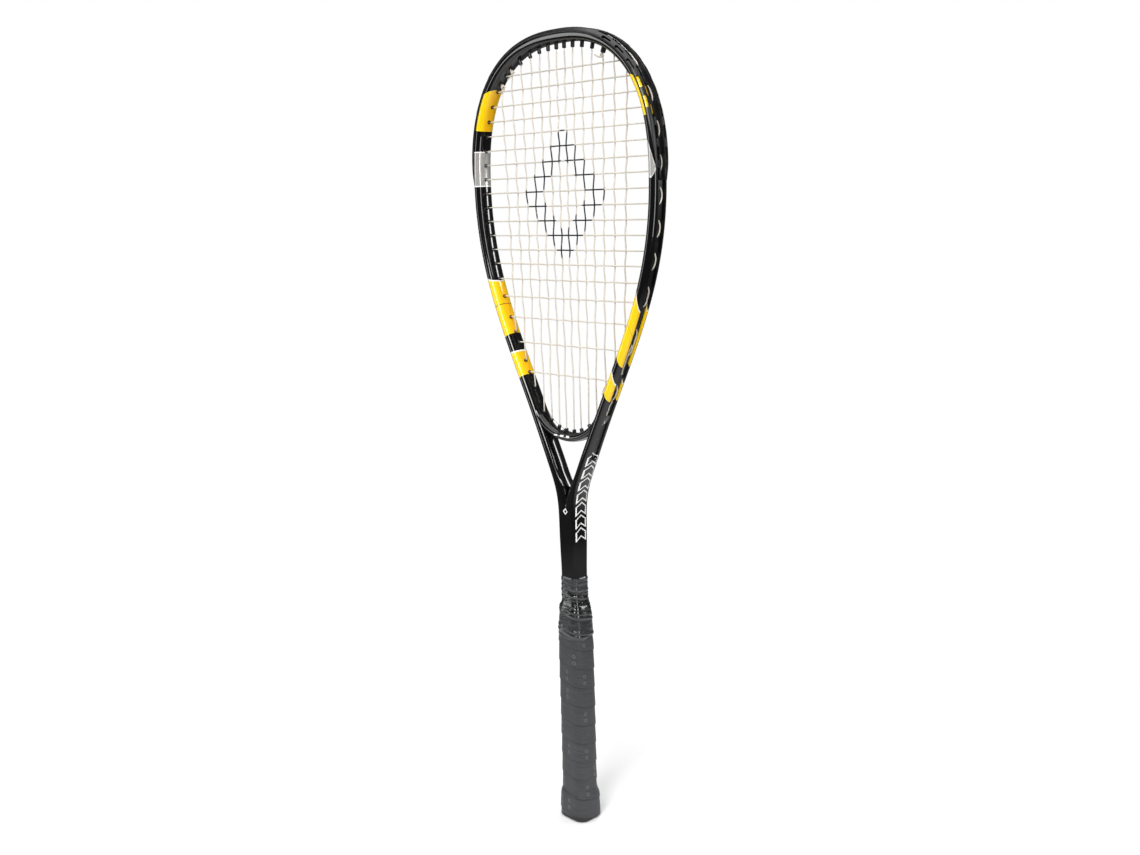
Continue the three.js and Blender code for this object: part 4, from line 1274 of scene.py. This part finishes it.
def signed_run(barrel):
    """A barrel's distance along the whole line: left of the middle counts the other way."""
    if barrel.spine is BRIDGE:
        return barrel.side * barrel.run
    return barrel.run if barrel.side > 0 else 2 * HAIRPIN.length - barrel.run


def signed_place(spine, signed):
    if spine is BRIDGE:
        point, normal = BRIDGE.at(abs(signed))
        return point, normal, 1 if signed >= 0 else -1
    if signed > HAIRPIN.length:
        point, normal = HAIRPIN.at(2 * HAIRPIN.length - signed)
        return point, normal, -1
    point, normal = HAIRPIN.at(signed)
    return point, normal, 1


def make_grommets(name, barrels, strip, material):
    """A strip with its barrels, as one piece."""
    points = bpy.data.meshes.new("grommet_feet")
    feet, aims, stretches = [], [], []
    for barrel in barrels:
        foot = barrel.point(barrel.floor() + 0.3)
        mouth = barrel.point(barrel.mouth)
        feet.append(foot)
        aims.append((mouth - foot).normalized())
        girth = 1.25 if barrel.tie else 1.0
        stretches.append((girth, girth, (mouth - foot).length * MM))
    points.from_pydata([f * MM for f in feet], [], [])
    aim = points.attributes.new("aim", "FLOAT_VECTOR", "POINT")
    stretch = points.attributes.new("stretch", "FLOAT_VECTOR", "POINT")
    for i in range(len(feet)):
        aim.data[i].vector = aims[i]
        stretch.data[i].vector = stretches[i]
    holder = bpy.data.objects.new(name, points)
    model = bpy.data.objects.new("grommet_model", grommet_mesh(0.95 * MM, 0.7 * MM))
    bpy.context.scene.collection.objects.link(holder)
    bpy.context.scene.collection.objects.link(model)
    values = {"Grommet": model, "Material": material}
    result = run_tree(holder, grommet_tree(), values, name)
    bpy.data.objects.remove(model)
    if strip:
        bm = bmesh.new()
        bm.from_mesh(result.data)
        extra = mesh_from("strip", *strip)
        tidy_mesh(extra)
        bm.from_mesh(extra)
        bm.to_mesh(result.data)
        bm.free()
    return result


# ---- Strings -------------------------------------------------------------------------------------


def crossing(a, b, c, d):
    """Where line a-b meets line c-d in the string plane."""
    p, r = Vector((a.x, a.z)), Vector((b.x - a.x, b.z - a.z))
    q, s = Vector((c.x, c.z)), Vector((d.x - c.x, d.z - c.z))
    t = (q - p).cross(s) / r.cross(s)
    u = (q - p).cross(r) / r.cross(s)
    return t, u


def woven_run(start, end, others, rises, weave):
    """Points from start to end that rise and fall over the strings they cross."""
    marks = []
    for (a, b), rise in zip(others, rises):
        t, u = crossing(start, end, a, b)
        if 0 < t < 1 and 0 < u < 1:
            marks.append((t, rise * weave))
    marks.sort()
    points = []
    levels = [(0.0, 0.0)] + marks + [(1.0, 0.0)]
    for (t0, y0), (t1, y1) in zip(levels, levels[1:]):
        steps = 6
        for i in range(steps):
            share = i / steps
            eased = 0.5 - 0.5 * math.cos(math.pi * share)
            place = start.lerp(end, mix(t0, t1, share))
            points.append(Vector((place.x, mix(y0, y1, eased), place.z)))
    points.append(end.copy())
    return points


def groove_path(a, b, y):
    """The way along the groove between two grommets of one tube, to one side of its middle."""
    s0, s1 = signed_run(a), signed_run(b)
    steps = max(6, round(abs(s1 - s0) / 1.6))
    points = []
    for i in range(1, steps):
        signed = mix(s0, s1, i / steps)
        away = min(abs(signed - s0), abs(signed - s1))
        point, normal, side = signed_place(a.spine, signed)
        out = groove_floor(a.spine, point.y) + 0.3 + 0.8 + 0.62
        drop = 0.9 * (1 - smooth(away, 0.0, 1.8))
        out -= drop
        shift = y * smooth(away, 0.4, 4.5)
        points.append(Vector((side * (point.x + normal.x * out), shift, point.y + normal.y * out)))
    return points


def barrel_path(barrel):
    """The way from inside the head out through a grommet to the groove."""
    floor = barrel.floor()
    return [
        barrel.point(barrel.mouth - 0.4),
        barrel.point(barrel.mouth * 0.4),
        barrel.point(floor - 0.2),
        barrel.point(floor + 0.8),
    ]


def laced(runs, bodies, y):
    path = []
    for i, (start, end) in enumerate(runs):
        path += barrel_path(start)[::-1] + bodies[i] + barrel_path(end)
        if i < len(runs) - 1:
            path += groove_path(end, runs[i + 1][0], y)
    return path


def knot_points(barrel, y):
    """Two small turns round the neighbouring string, and a cut tail."""
    centre = barrel.point(barrel.mouth - 1.6, 0.0)
    along = (barrel.point(barrel.mouth - 3.0) - barrel.point(barrel.mouth)).normalized()
    sideways = Vector((along.z, 0.0, -along.x))
    points = [barrel.point(barrel.mouth * 0.5, y), barrel.point(barrel.mouth - 0.3, y)]
    for i in range(27):
        angle = 2 * math.pi * i / 12 + math.pi / 2 * math.copysign(1, y)
        points.append(
            centre
            + along * (1.15 * i / 12 - 0.4)
            + sideways * (1.2 * math.cos(angle))
            + Vector((0, 1.2 * math.sin(angle), 0))
        )
    points.append(points[-1] + sideways * 2.4 + along * 0.8)
    points.append(points[-1] + sideways * 4.2 - along * 0.5)
    return points


def tie(end, host, y):
    """A string's end, along the groove to another grommet and knotted round the string there."""
    way = barrel_path(end)[3:] + groove_path(end, host, y * 1.4)
    return way + [host.point(host.floor(), y)] + knot_points(host, y)


def string_tree():
    """Gives a line of points a round section."""
    tree = bpy.data.node_groups.new("string_from_line", "GeometryNodeTree")
    tree.interface.new_socket("Geometry", in_out="INPUT", socket_type="NodeSocketGeometry")
    tree.interface.new_socket("Diameter", in_out="INPUT", socket_type="NodeSocketFloat")
    tree.interface.new_socket("Material", in_out="INPUT", socket_type="NodeSocketMaterial")
    tree.interface.new_socket("Geometry", in_out="OUTPUT", socket_type="NodeSocketGeometry")
    start = add_node(tree, "NodeGroupInput")
    half = add_node(
        tree, "ShaderNodeMath", {"operation": "MULTIPLY"}, in_0=start.outputs["Diameter"], in_1=0.5
    )
    line = add_node(tree, "GeometryNodeMeshToCurve", Mesh=start.outputs["Geometry"])
    ring = add_node(tree, "GeometryNodeCurvePrimitiveCircle", Resolution=8, Radius=half.outputs[0])
    tube = add_node(tree, "GeometryNodeCurveToMesh", Curve=line.outputs[0])
    tree.links.new(ring.outputs[0], tube.inputs[1])
    tube.inputs["Fill Caps"].default_value = True
    real = add_node(tree, "GeometryNodeRealizeInstances", Geometry=tube.outputs[0])
    covered = add_node(
        tree, "GeometryNodeSetMaterial", Geometry=real.outputs[0],
        Material=start.outputs["Material"]
    )
    add_node(tree, "NodeGroupOutput", Geometry=covered.outputs[0])
    return tree


def make_string(name, path, material, diameter):
    points = [path[0]]
    for p in path[1:]:
        if (p - points[-1]).length > 0.25:
            points.append(p)
    mesh = bpy.data.meshes.new(name)
    mesh.from_pydata([p * MM for p in points], [(i, i + 1) for i in range(len(points) - 1)], [])
    along = mesh.attributes.new("along", "FLOAT", "POINT")
    distance = 0.0
    for i, p in enumerate(points):
        if i:
            distance += (p - points[i - 1]).length
        along.data[i].value = distance
    holder = bpy.data.objects.new(name, mesh)
    bpy.context.scene.collection.objects.link(holder)
    values = {"Diameter": diameter, "Material": material}
    result = run_tree(holder, string_tree(), values, name)
    tidy_mesh(result.data, merge_mm=0.001)
    return result


# ---- Handle --------------------------------------------------------------------------------------


def rounded_octagon(width, depth, chamfer, angle, hardness=13.0):
    """A point on an octagon with softened corners, as a distance from its middle at an angle."""
    c, s = abs(math.cos(angle)), abs(math.sin(angle))
    a = (c / (width / 2)) ** hardness
    b = (s / (depth / 2)) ** hardness
    d = ((c + s) / ((width + depth) / 2 - chamfer)) ** hardness
    return (a + b + d) ** (-1 / hardness)


HANDLE_ROWS = (
    # height, width, depth and chamfer of the wrapped handle's outside, in millimetres
    (0.0, 32.0, 28.4, 5.4),
    (3.3, 32.6, 28.9, 5.5),
    (8.0, 32.9, 29.2, 5.6),
    (21.5, 32.5, 28.8, 5.5),
    (24.8, 31.7, 27.9, 5.4),
    (27.8, 29.2, 25.2, 5.2),
    (165.0, 29.2, 25.2, 5.2),
    (188.0, 25.6, 22.6, 4.2),
    (196.0, 23.8, 21.4, 3.8),
    (201.0, 22.6, 20.6, 3.4),
)


def handle_size(z):
    for low, high in zip(HANDLE_ROWS, HANDLE_ROWS[1:]):
        if z <= high[0]:
            # The flare over the cap is rounded, and the handle above it is straight.
            if high[0] < 30:
                share = smooth(z, low[0], high[0])
            else:
                share = (z - low[0]) / (high[0] - low[0])
            return [mix(a, b, min(max(share, 0.0), 1.0)) for a, b in zip(low[1:], high[1:])]
    return list(HANDLE_ROWS[-1][1:])


WRAP_BOTTOM_MM = 2.6
WRAP_TOP_MM = 201.0


def make_wrap(material, sizes):
    """The grip tape as one helical sheet: each turn's lower edge lies on the turn below it."""
    pitch = sizes.wrap_pitch / MM
    step = sizes.wrap_overlap / MM
    profile = (
        (0.0, 0.75), (0.018, 1.0), (0.06, 1.0), (0.14, 0.9), (0.3, 0.7), (0.5, 0.45),
        (0.7, 0.22), (0.86, 0.05), (0.94, -0.1), (0.975, -0.28), (0.992, -0.3),
    )
    columns = 112
    turns = math.ceil((WRAP_TOP_MM - WRAP_BOTTOM_MM) / pitch) + 2
    verts, faces = [], []
    total = columns * turns
    count = len(profile)
    for j in range(total + 1):
        swing = j / columns
        angle = -2 * math.pi * swing
        for share, rise in profile:
            z = WRAP_BOTTOM_MM + pitch * (swing - 1 + share)
            z += 0.35 * math.sin(5.1 * swing) + 0.25 * math.sin(12.7 * swing + 1.3)
            z = min(max(z, WRAP_BOTTOM_MM), WRAP_TOP_MM)
            width, depth, chamfer = handle_size(z)
            slack = 1.0 + 0.9 * smooth(z, 160.0, 180.0)
            reach = rounded_octagon(width, depth, chamfer, angle)
            reach += step * slack * (rise - 0.55)
            uneven = 0.07 * math.sin(3 * angle + 0.9 * swing)
            reach += uneven + 0.05 * math.sin(7 * angle + 2.3 * swing)
            verts.append((reach * math.cos(angle), reach * math.sin(angle), z))
    for j in range(total):
        for k in range(count - 1):
            a = j * count + k
            faces.append((a, a + 1, a + count + 1, a + count))
        if j + columns < total:
            top, nxt = j * count + count - 1, (j + columns) * count
            faces.append((top, nxt, nxt + count, top + count))
    mesh = mesh_from("grip", verts, faces)
    bm = bmesh.new()
    bm.from_mesh(mesh)
    bmesh.ops.remove_doubles(bm, verts=bm.verts[:], dist=0.00002)
    bmesh.ops.dissolve_degenerate(bm, edges=bm.edges[:], dist=1e-6)
    loose = [v for v in bm.verts if not v.link_faces]
    bmesh.ops.delete(bm, geom=loose, context="VERTS")
    bmesh.ops.holes_fill(bm, edges=[e for e in bm.edges if e.is_boundary], sides=0)
    bmesh.ops.recalc_face_normals(bm, faces=bm.faces[:])
    bm.to_mesh(mesh)
    bm.free()
    return new_piece("grip_tape", mesh, material, 50.0)


def crumple(angle, z):
    """How far the stretched film stands out at a place: tilted creases, from 0 to about 1."""
    total = 0.0
    for count, tilt, phase, weight in (
        (1, 0.62, 0.3, 0.5), (2, 0.41, 2.1, 0.3), (1, 1.07, 4.0, 0.35), (3, 0.23, 1.1, 0.2),
        (2, 1.7, 5.2, 0.12),
    ):
        wave = math.sin(count * angle + tilt * z + phase)
        total += weight * max(wave, 0.0) ** 4
    return total


def ridge(angle, z):
    """The edges of the tape's top turns, which show through the film as soft ridges."""
    total = 0.0
    for height, weight in ((192.5, 1.0), (178.5, 0.9)):
        edge = height - 17.5 * (angle + 0.94) / (2 * math.pi)
        for start in (edge - 17.5, edge, edge + 17.5):
            away = (z - start) / 1.3
            total += weight * math.exp(-away * away) * smooth(z, 170.0, 174.0)
    return min(total, 1.0)


def make_film(material):
    """A ragged-edged sleeve over the wrap's tapered end and the foot of the bare shaft."""
    rings = []
    low, high = 171.5, 226.5
    rows = 96
    for i in range(rows + 1):
        share = i / rows
        edge = min(share, 1 - share) * rows
        ring = []
        for j in range(96):
            angle = 2 * math.pi * j / 96
            ragged = 0.5 * math.sin(2 * angle + 0.4) + 0.3 * math.sin(5 * angle)
            z = mix(low + 1.6 * ragged, high + 0.25 * ragged, share)
            width, depth, chamfer = handle_size(min(z, 201.0))
            lower = rounded_octagon(width + 0.9, depth + 0.9, chamfer, angle)
            shaft = rounded_octagon(20.0, 18.0, 2.7, angle, 16.0)
            reach = mix(lower, shaft, smooth(z, 198.0, 206.0))
            folds = 0.15 + 0.85 * smooth(z, 186.0, 200.0)
            turned = angle if angle < math.pi else angle - 2 * math.pi
            reach += (
                0.55 * folds * crumple(angle, z) + 0.55 * ridge(turned, z)
            ) * min(edge / 4, 1.0)
            if edge < 1:
                reach -= 0.5
            ring.append((reach * math.cos(angle), reach * math.sin(angle), z))
        rings.append(ring)
    mesh = mesh_from("film", *loft(rings))
    tidy_mesh(mesh)
    return new_piece("finishing_film", mesh, material, 60.0)


def oblong(z, width, depth, count):
    """A ring of points with full corners, for the door and the opening it fills."""
    ovals = (oval(width, depth, 2 * math.pi * j / count, 6.0) for j in range(count))
    return [(p.x, p.y, z) for p in ovals]


def make_cap(material):
    """The butt cap: a softly edged rim, a recess for its door, and the lip the tape runs up to."""
    def ring(z, inset, width=31.4, depth=27.8, chamfer=5.2):
        points = []
        for j in range(96):
            angle = 2 * math.pi * j / 96
            reach = rounded_octagon(width - 2 * inset, depth - 2 * inset, chamfer, angle, 15.0)
            points.append((reach * math.cos(angle), reach * math.sin(angle), z))
        return points

    rings = [
        ring(20.0, 3.4), ring(18.2, 1.0), ring(4.2, -0.3), ring(3.2, -0.5), ring(2.2, -0.55),
        ring(1.1, -0.3), ring(0.45, 0.25), ring(0.1, 1.1), ring(0.0, 2.2),
        oblong(0.0, 15.2, 12.2, 96), oblong(0.15, 14.5, 11.5, 96),
        oblong(0.8, 14.2, 11.2, 96), oblong(2.6, 14.0, 11.0, 96),
    ]
    mesh = mesh_from("cap", *loft(rings))
    tidy_mesh(mesh)
    return new_piece("butt_cap_shell", mesh, material, 40.0)


def make_door(material):
    """The trap door in the cap, with a finger notch and a raised border."""
    rows = (
        (3.4, 13.4, 10.4), (0.9, 13.4, 10.4), (0.35, 13.1, 10.1), (0.2, 12.4, 9.4),
        (0.2, 11.2, 8.2), (0.75, 10.6, 7.6), (0.75, 3.4, 2.2), (1.3, 3.0, 1.8),
    )
    rings = [oblong(*row, 72) for row in rows]
    mesh = mesh_from("door", *loft(rings))
    tidy_mesh(mesh)
    return new_piece("butt_cap_door_panel", mesh, material, 40.0)


# ---- Stage ---------------------------------------------------------------------------------------


def soft_light(name, place, aim, width, height, power):
    data = bpy.data.lights.new(name, "AREA")
    data.shape = "RECTANGLE"
    data.size = width
    data.size_y = height
    data.energy = power
    lamp = bpy.data.objects.new(name, data)
    lamp.location = place
    lamp.visible_camera = False
    lamp.rotation_euler = (Vector(aim) - Vector(place)).to_track_quat("-Z", "Y").to_euler()
    bpy.context.scene.collection.objects.link(lamp)
    return lamp


def make_camera():
    data = bpy.data.cameras.new("camera")
    data.lens = 37.58
    data.sensor_width = 36.0
    data.clip_start = 0.01
    camera = bpy.data.objects.new("camera", data)
    across = Vector((0.7011, 0.7126, -0.0266))
    up = Vector((-0.1126, 0.1475, 0.9826))
    back = Vector((0.7041, -0.6859, 0.1836))
    place = Matrix((across, up, back)).transposed().to_4x4()
    place.translation = Vector((0.717, -0.699, 0.545))
    camera.matrix_world = place
    bpy.context.scene.collection.objects.link(camera)
    bpy.context.scene.camera = camera


def make_world():
    world = bpy.data.worlds.new("studio_air")
    world.use_nodes = True
    tree = world.node_tree
    tree.nodes.clear()
    seen = add_node(tree, "ShaderNodeBackground", Color=linear("#FFFFFF"), Strength=1.0)
    fill = add_node(tree, "ShaderNodeBackground", Color=linear("#FFFFFF"), Strength=0.09)
    direct = add_node(tree, "ShaderNodeLightPath").outputs["Is Camera Ray"]
    sky = add_node(
        tree, "ShaderNodeMixShader", in_0=direct, in_1=fill.outputs[0], in_2=seen.outputs[0]
    )
    add_node(tree, "ShaderNodeOutputWorld", Surface=sky.outputs[0])
    bpy.context.scene.world = world


# ---- Operators -----------------------------------------------------------------------------------


def settle(piece, slot, *nodes):
    """Ties a finished piece to its body and hides the nodes it stands for."""
    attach(piece, "root")
    if nodes:
        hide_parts(*nodes)


class RACKET_OT_frame(bpy.types.Operator):
    """The hairpin tube and the bridge, lacquered."""

    bl_idname = "racket.frame"
    bl_label = "Frame"

    def execute(self, context):
        material = frame_lacquer(context.scene.racket_colours)
        settle(make_frame(material), "lacquered_frame", "hairpin_frame")
        settle(make_bridge(material), "lacquered_frame", "throat_bridge")
        return {"FINISHED"}


class RACKET_OT_guard(bpy.types.Operator):
    """The slotted bumper guard and all the grommets."""

    bl_idname = "racket.guard"
    bl_label = "Guard and grommets"

    def execute(self, context):
        sizes = context.scene.racket_sizes
        material = guard_nylon(context.scene.racket_colours)
        settle(make_bumper(material, sizes), "guard_nylon", "bumper_guard")
        every = [b for pair in list(MAINS.values()) + CROSSES for b in pair]
        bumper_start = HAIRPIN.run_where(height_of, BUMPER_END_MM)
        strip_start = HAIRPIN.run_where(height_of, 341.0)
        hoop = [b for b in every if b.spine is HAIRPIN]
        crown = [b for b in hoop if b.run > bumper_start]
        settle(make_grommets("bumper_grommets", crown, None, material), "guard_nylon")
        count = round((bumper_start - strip_start) / 2)
        runs = [mix(strip_start, bumper_start + 2, i / count) for i in range(count + 1)]
        for side, name in ((-1, "left"), (1, "right")):
            barrels = [b for b in hoop if b.run <= bumper_start and b.side == side]
            signed = [r if side > 0 else 2 * HAIRPIN.length - r for r in runs]
            strip = strip_mesh(HAIRPIN, signed, 3.1, 0.8)
            piece = make_grommets(name + "_grommets", barrels, strip, material)
            settle(piece, "guard_nylon", name + "_grommet_strip")
        barrels = [b for b in every if b.spine is BRIDGE]
        runs = [mix(-29.0, 29.0, i / 40) for i in range(41)]
        strip = strip_mesh(BRIDGE, runs, 3.1, 0.8)
        piece = make_grommets("bridge_grommets", barrels, strip, material)
        settle(piece, "guard_nylon", "bridge_grommet_strip")
        return {"FINISHED"}


class RACKET_OT_strings(bpy.types.Operator):
    """The woven main and cross strings."""

    bl_idname = "racket.strings"
    bl_label = "Strings"

    def execute(self, context):
        sizes = context.scene.racket_sizes
        material = string_nylon(context.scene.racket_colours)
        weave = sizes.weave / MM
        orders = sorted(MAINS)
        main_lines = [tuple(b.point(b.mouth) for b in MAINS[o]) for o in orders]
        cross_lines = [tuple(b.point(b.mouth) for b in pair) for pair in CROSSES]
        main_runs, main_bodies = [], []
        for i, order in enumerate(orders):
            top, bottom = MAINS[order]
            start, end = (top, bottom) if i % 2 == 0 else (bottom, top)
            rises = [1 if (i + j) % 2 else -1 for j in range(len(CROSSES))]
            main_runs.append((start, end))
            main_bodies.append(
                woven_run(start.point(start.mouth), end.point(end.mouth), cross_lines, rises, weave)
            )
        cross_runs, cross_bodies = [], []
        for j, (left, right) in enumerate(CROSSES):
            start, end = (left, right) if j % 2 == 0 else (right, left)
            rises = [-1 if (i + j) % 2 else 1 for i in range(len(orders))]
            cross_runs.append((start, end))
            cross_bodies.append(
                woven_run(start.point(start.mouth), end.point(end.mouth), main_lines, rises, weave)
            )
        main_path = (
            tie(main_runs[0][0], MAINS[MAIN_TIES[0]][0], -1.0)[::-1]
            + laced(main_runs, main_bodies, -1.35)
            + tie(main_runs[-1][1], MAINS[MAIN_TIES[1]][0], -1.0)
        )
        cross_path = (
            tie(cross_runs[0][0], MAINS[CROSS_TOP_TIE][0], 1.0)[::-1]
            + laced(cross_runs, cross_bodies, 1.35)
            + tie(cross_runs[-1][1], MAINS[CROSS_FOOT_TIE][1], 1.0)
        )
        piece = make_string("main_string_woven", main_path, material, sizes.string)
        settle(piece, "string_nylon", "main_string")
        piece = make_string("cross_string_woven", cross_path, material, sizes.string)
        settle(piece, "string_nylon", "cross_string")
        return {"FINISHED"}


class RACKET_OT_handle(bpy.types.Operator):
    """The wrapped grip, the finishing tape and the butt cap with its door."""

    bl_idname = "racket.handle"
    bl_label = "Handle"

    def execute(self, context):
        colours = context.scene.racket_colours
        plastic = cap_plastic()
        sizes = context.scene.racket_sizes
        settle(make_wrap(grip_tape(colours, sizes), sizes), "grip_tape", "grip_wrap")
        settle(make_film(finishing_film(colours)), "finishing_film", "finishing_tape")
        settle(make_cap(plastic), "cap_plastic", "butt_cap")
        settle(make_door(plastic), "cap_plastic", "butt_cap_door")
        return {"FINISHED"}


class RACKET_OT_hidden_parts(bpy.types.Operator):
    """Finishes for the pallets and staples, which the grip covers."""

    bl_idname = "racket.hidden_parts"
    bl_label = "Pallets and staples"

    def execute(self, context):
        finishes = {
            "left_pallet": pallet_foam(),
            "right_pallet": pallet_foam(),
            "front_staple": staple_wire(),
            "back_staple": staple_wire(),
        }
        for name, material in finishes.items():
            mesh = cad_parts[name].data
            mesh.materials.clear()
            mesh.materials.append(material)
        return {"FINISHED"}


class RACKET_OT_stage(bpy.types.Operator):
    """The paper floor, the studio lights and the camera."""

    bl_idname = "racket.stage"
    bl_label = "Stage"

    def execute(self, context):
        bpy.ops.mesh.primitive_plane_add(size=2.4)
        floor = context.object
        floor.name = "studio_floor"
        floor.data.materials.append(studio_floor())
        soft_light("overhead", (0, -0.3, 2.4), (0, 0, 0), 2.4, 2.4, 40)
        soft_light("key", (0.9, -2.0, 1.7), (0, 0, 0.35), 1.0, 1.0, 48)
        soft_light("right_strip", (1.9, -0.5, 0.7), (0, 0, 0.45), 0.35, 1.6, 12)
        soft_light("left_strip", (-1.4, -1.4, 0.7), (0, 0, 0.4), 0.3, 1.5, 6)
        soft_light("back_strip", (1.3, 1.3, 0.98), (0, 0, 0.6), 0.14, 0.8, 6)
        soft_light("back_fill", (-1.0, 2.2, 1.6), (0, 0, 0.35), 1.2, 1.2, 22)
        make_camera()
        make_world()
        context.scene.view_settings.view_transform = "Standard"
        return {"FINISHED"}


class RACKET_PT_sidebar(bpy.types.Panel):
    """Buttons and sizes in the 3D view's sidebar."""

    bl_idname = "RACKET_PT_sidebar"
    bl_label = "Squash racket"
    bl_space_type = "VIEW_3D"
    bl_region_type = "UI"
    bl_category = "Racket"

    def draw(self, context):
        for operator in OPERATORS:
            self.layout.operator(operator.bl_idname)
        for group in (context.scene.racket_sizes, context.scene.racket_colours):
            for key in group.__annotations__:
                self.layout.prop(group, key)


OPERATORS = (
    RACKET_OT_frame,
    RACKET_OT_guard,
    RACKET_OT_strings,
    RACKET_OT_handle,
    RACKET_OT_hidden_parts,
    RACKET_OT_stage,
)
CLASSES = (RacketSizes, RacketColours, *OPERATORS, RACKET_PT_sidebar)


def register():
    for cls in CLASSES:
        bpy.utils.register_class(cls)
    bpy.types.Scene.racket_sizes = bpy.props.PointerProperty(type=RacketSizes)
    bpy.types.Scene.racket_colours = bpy.props.PointerProperty(type=RacketColours)


def unregister():
    del bpy.types.Scene.racket_colours
    del bpy.types.Scene.racket_sizes
    for cls in reversed(CLASSES):
        bpy.utils.unregister_class(cls)


def main():
    register()
    bpy.ops.racket.frame()
    bpy.ops.racket.guard()
    bpy.ops.racket.strings()
    bpy.ops.racket.handle()
    bpy.ops.racket.hidden_parts()
    bpy.ops.racket.stage()


if __name__ == "__main__":
    main()
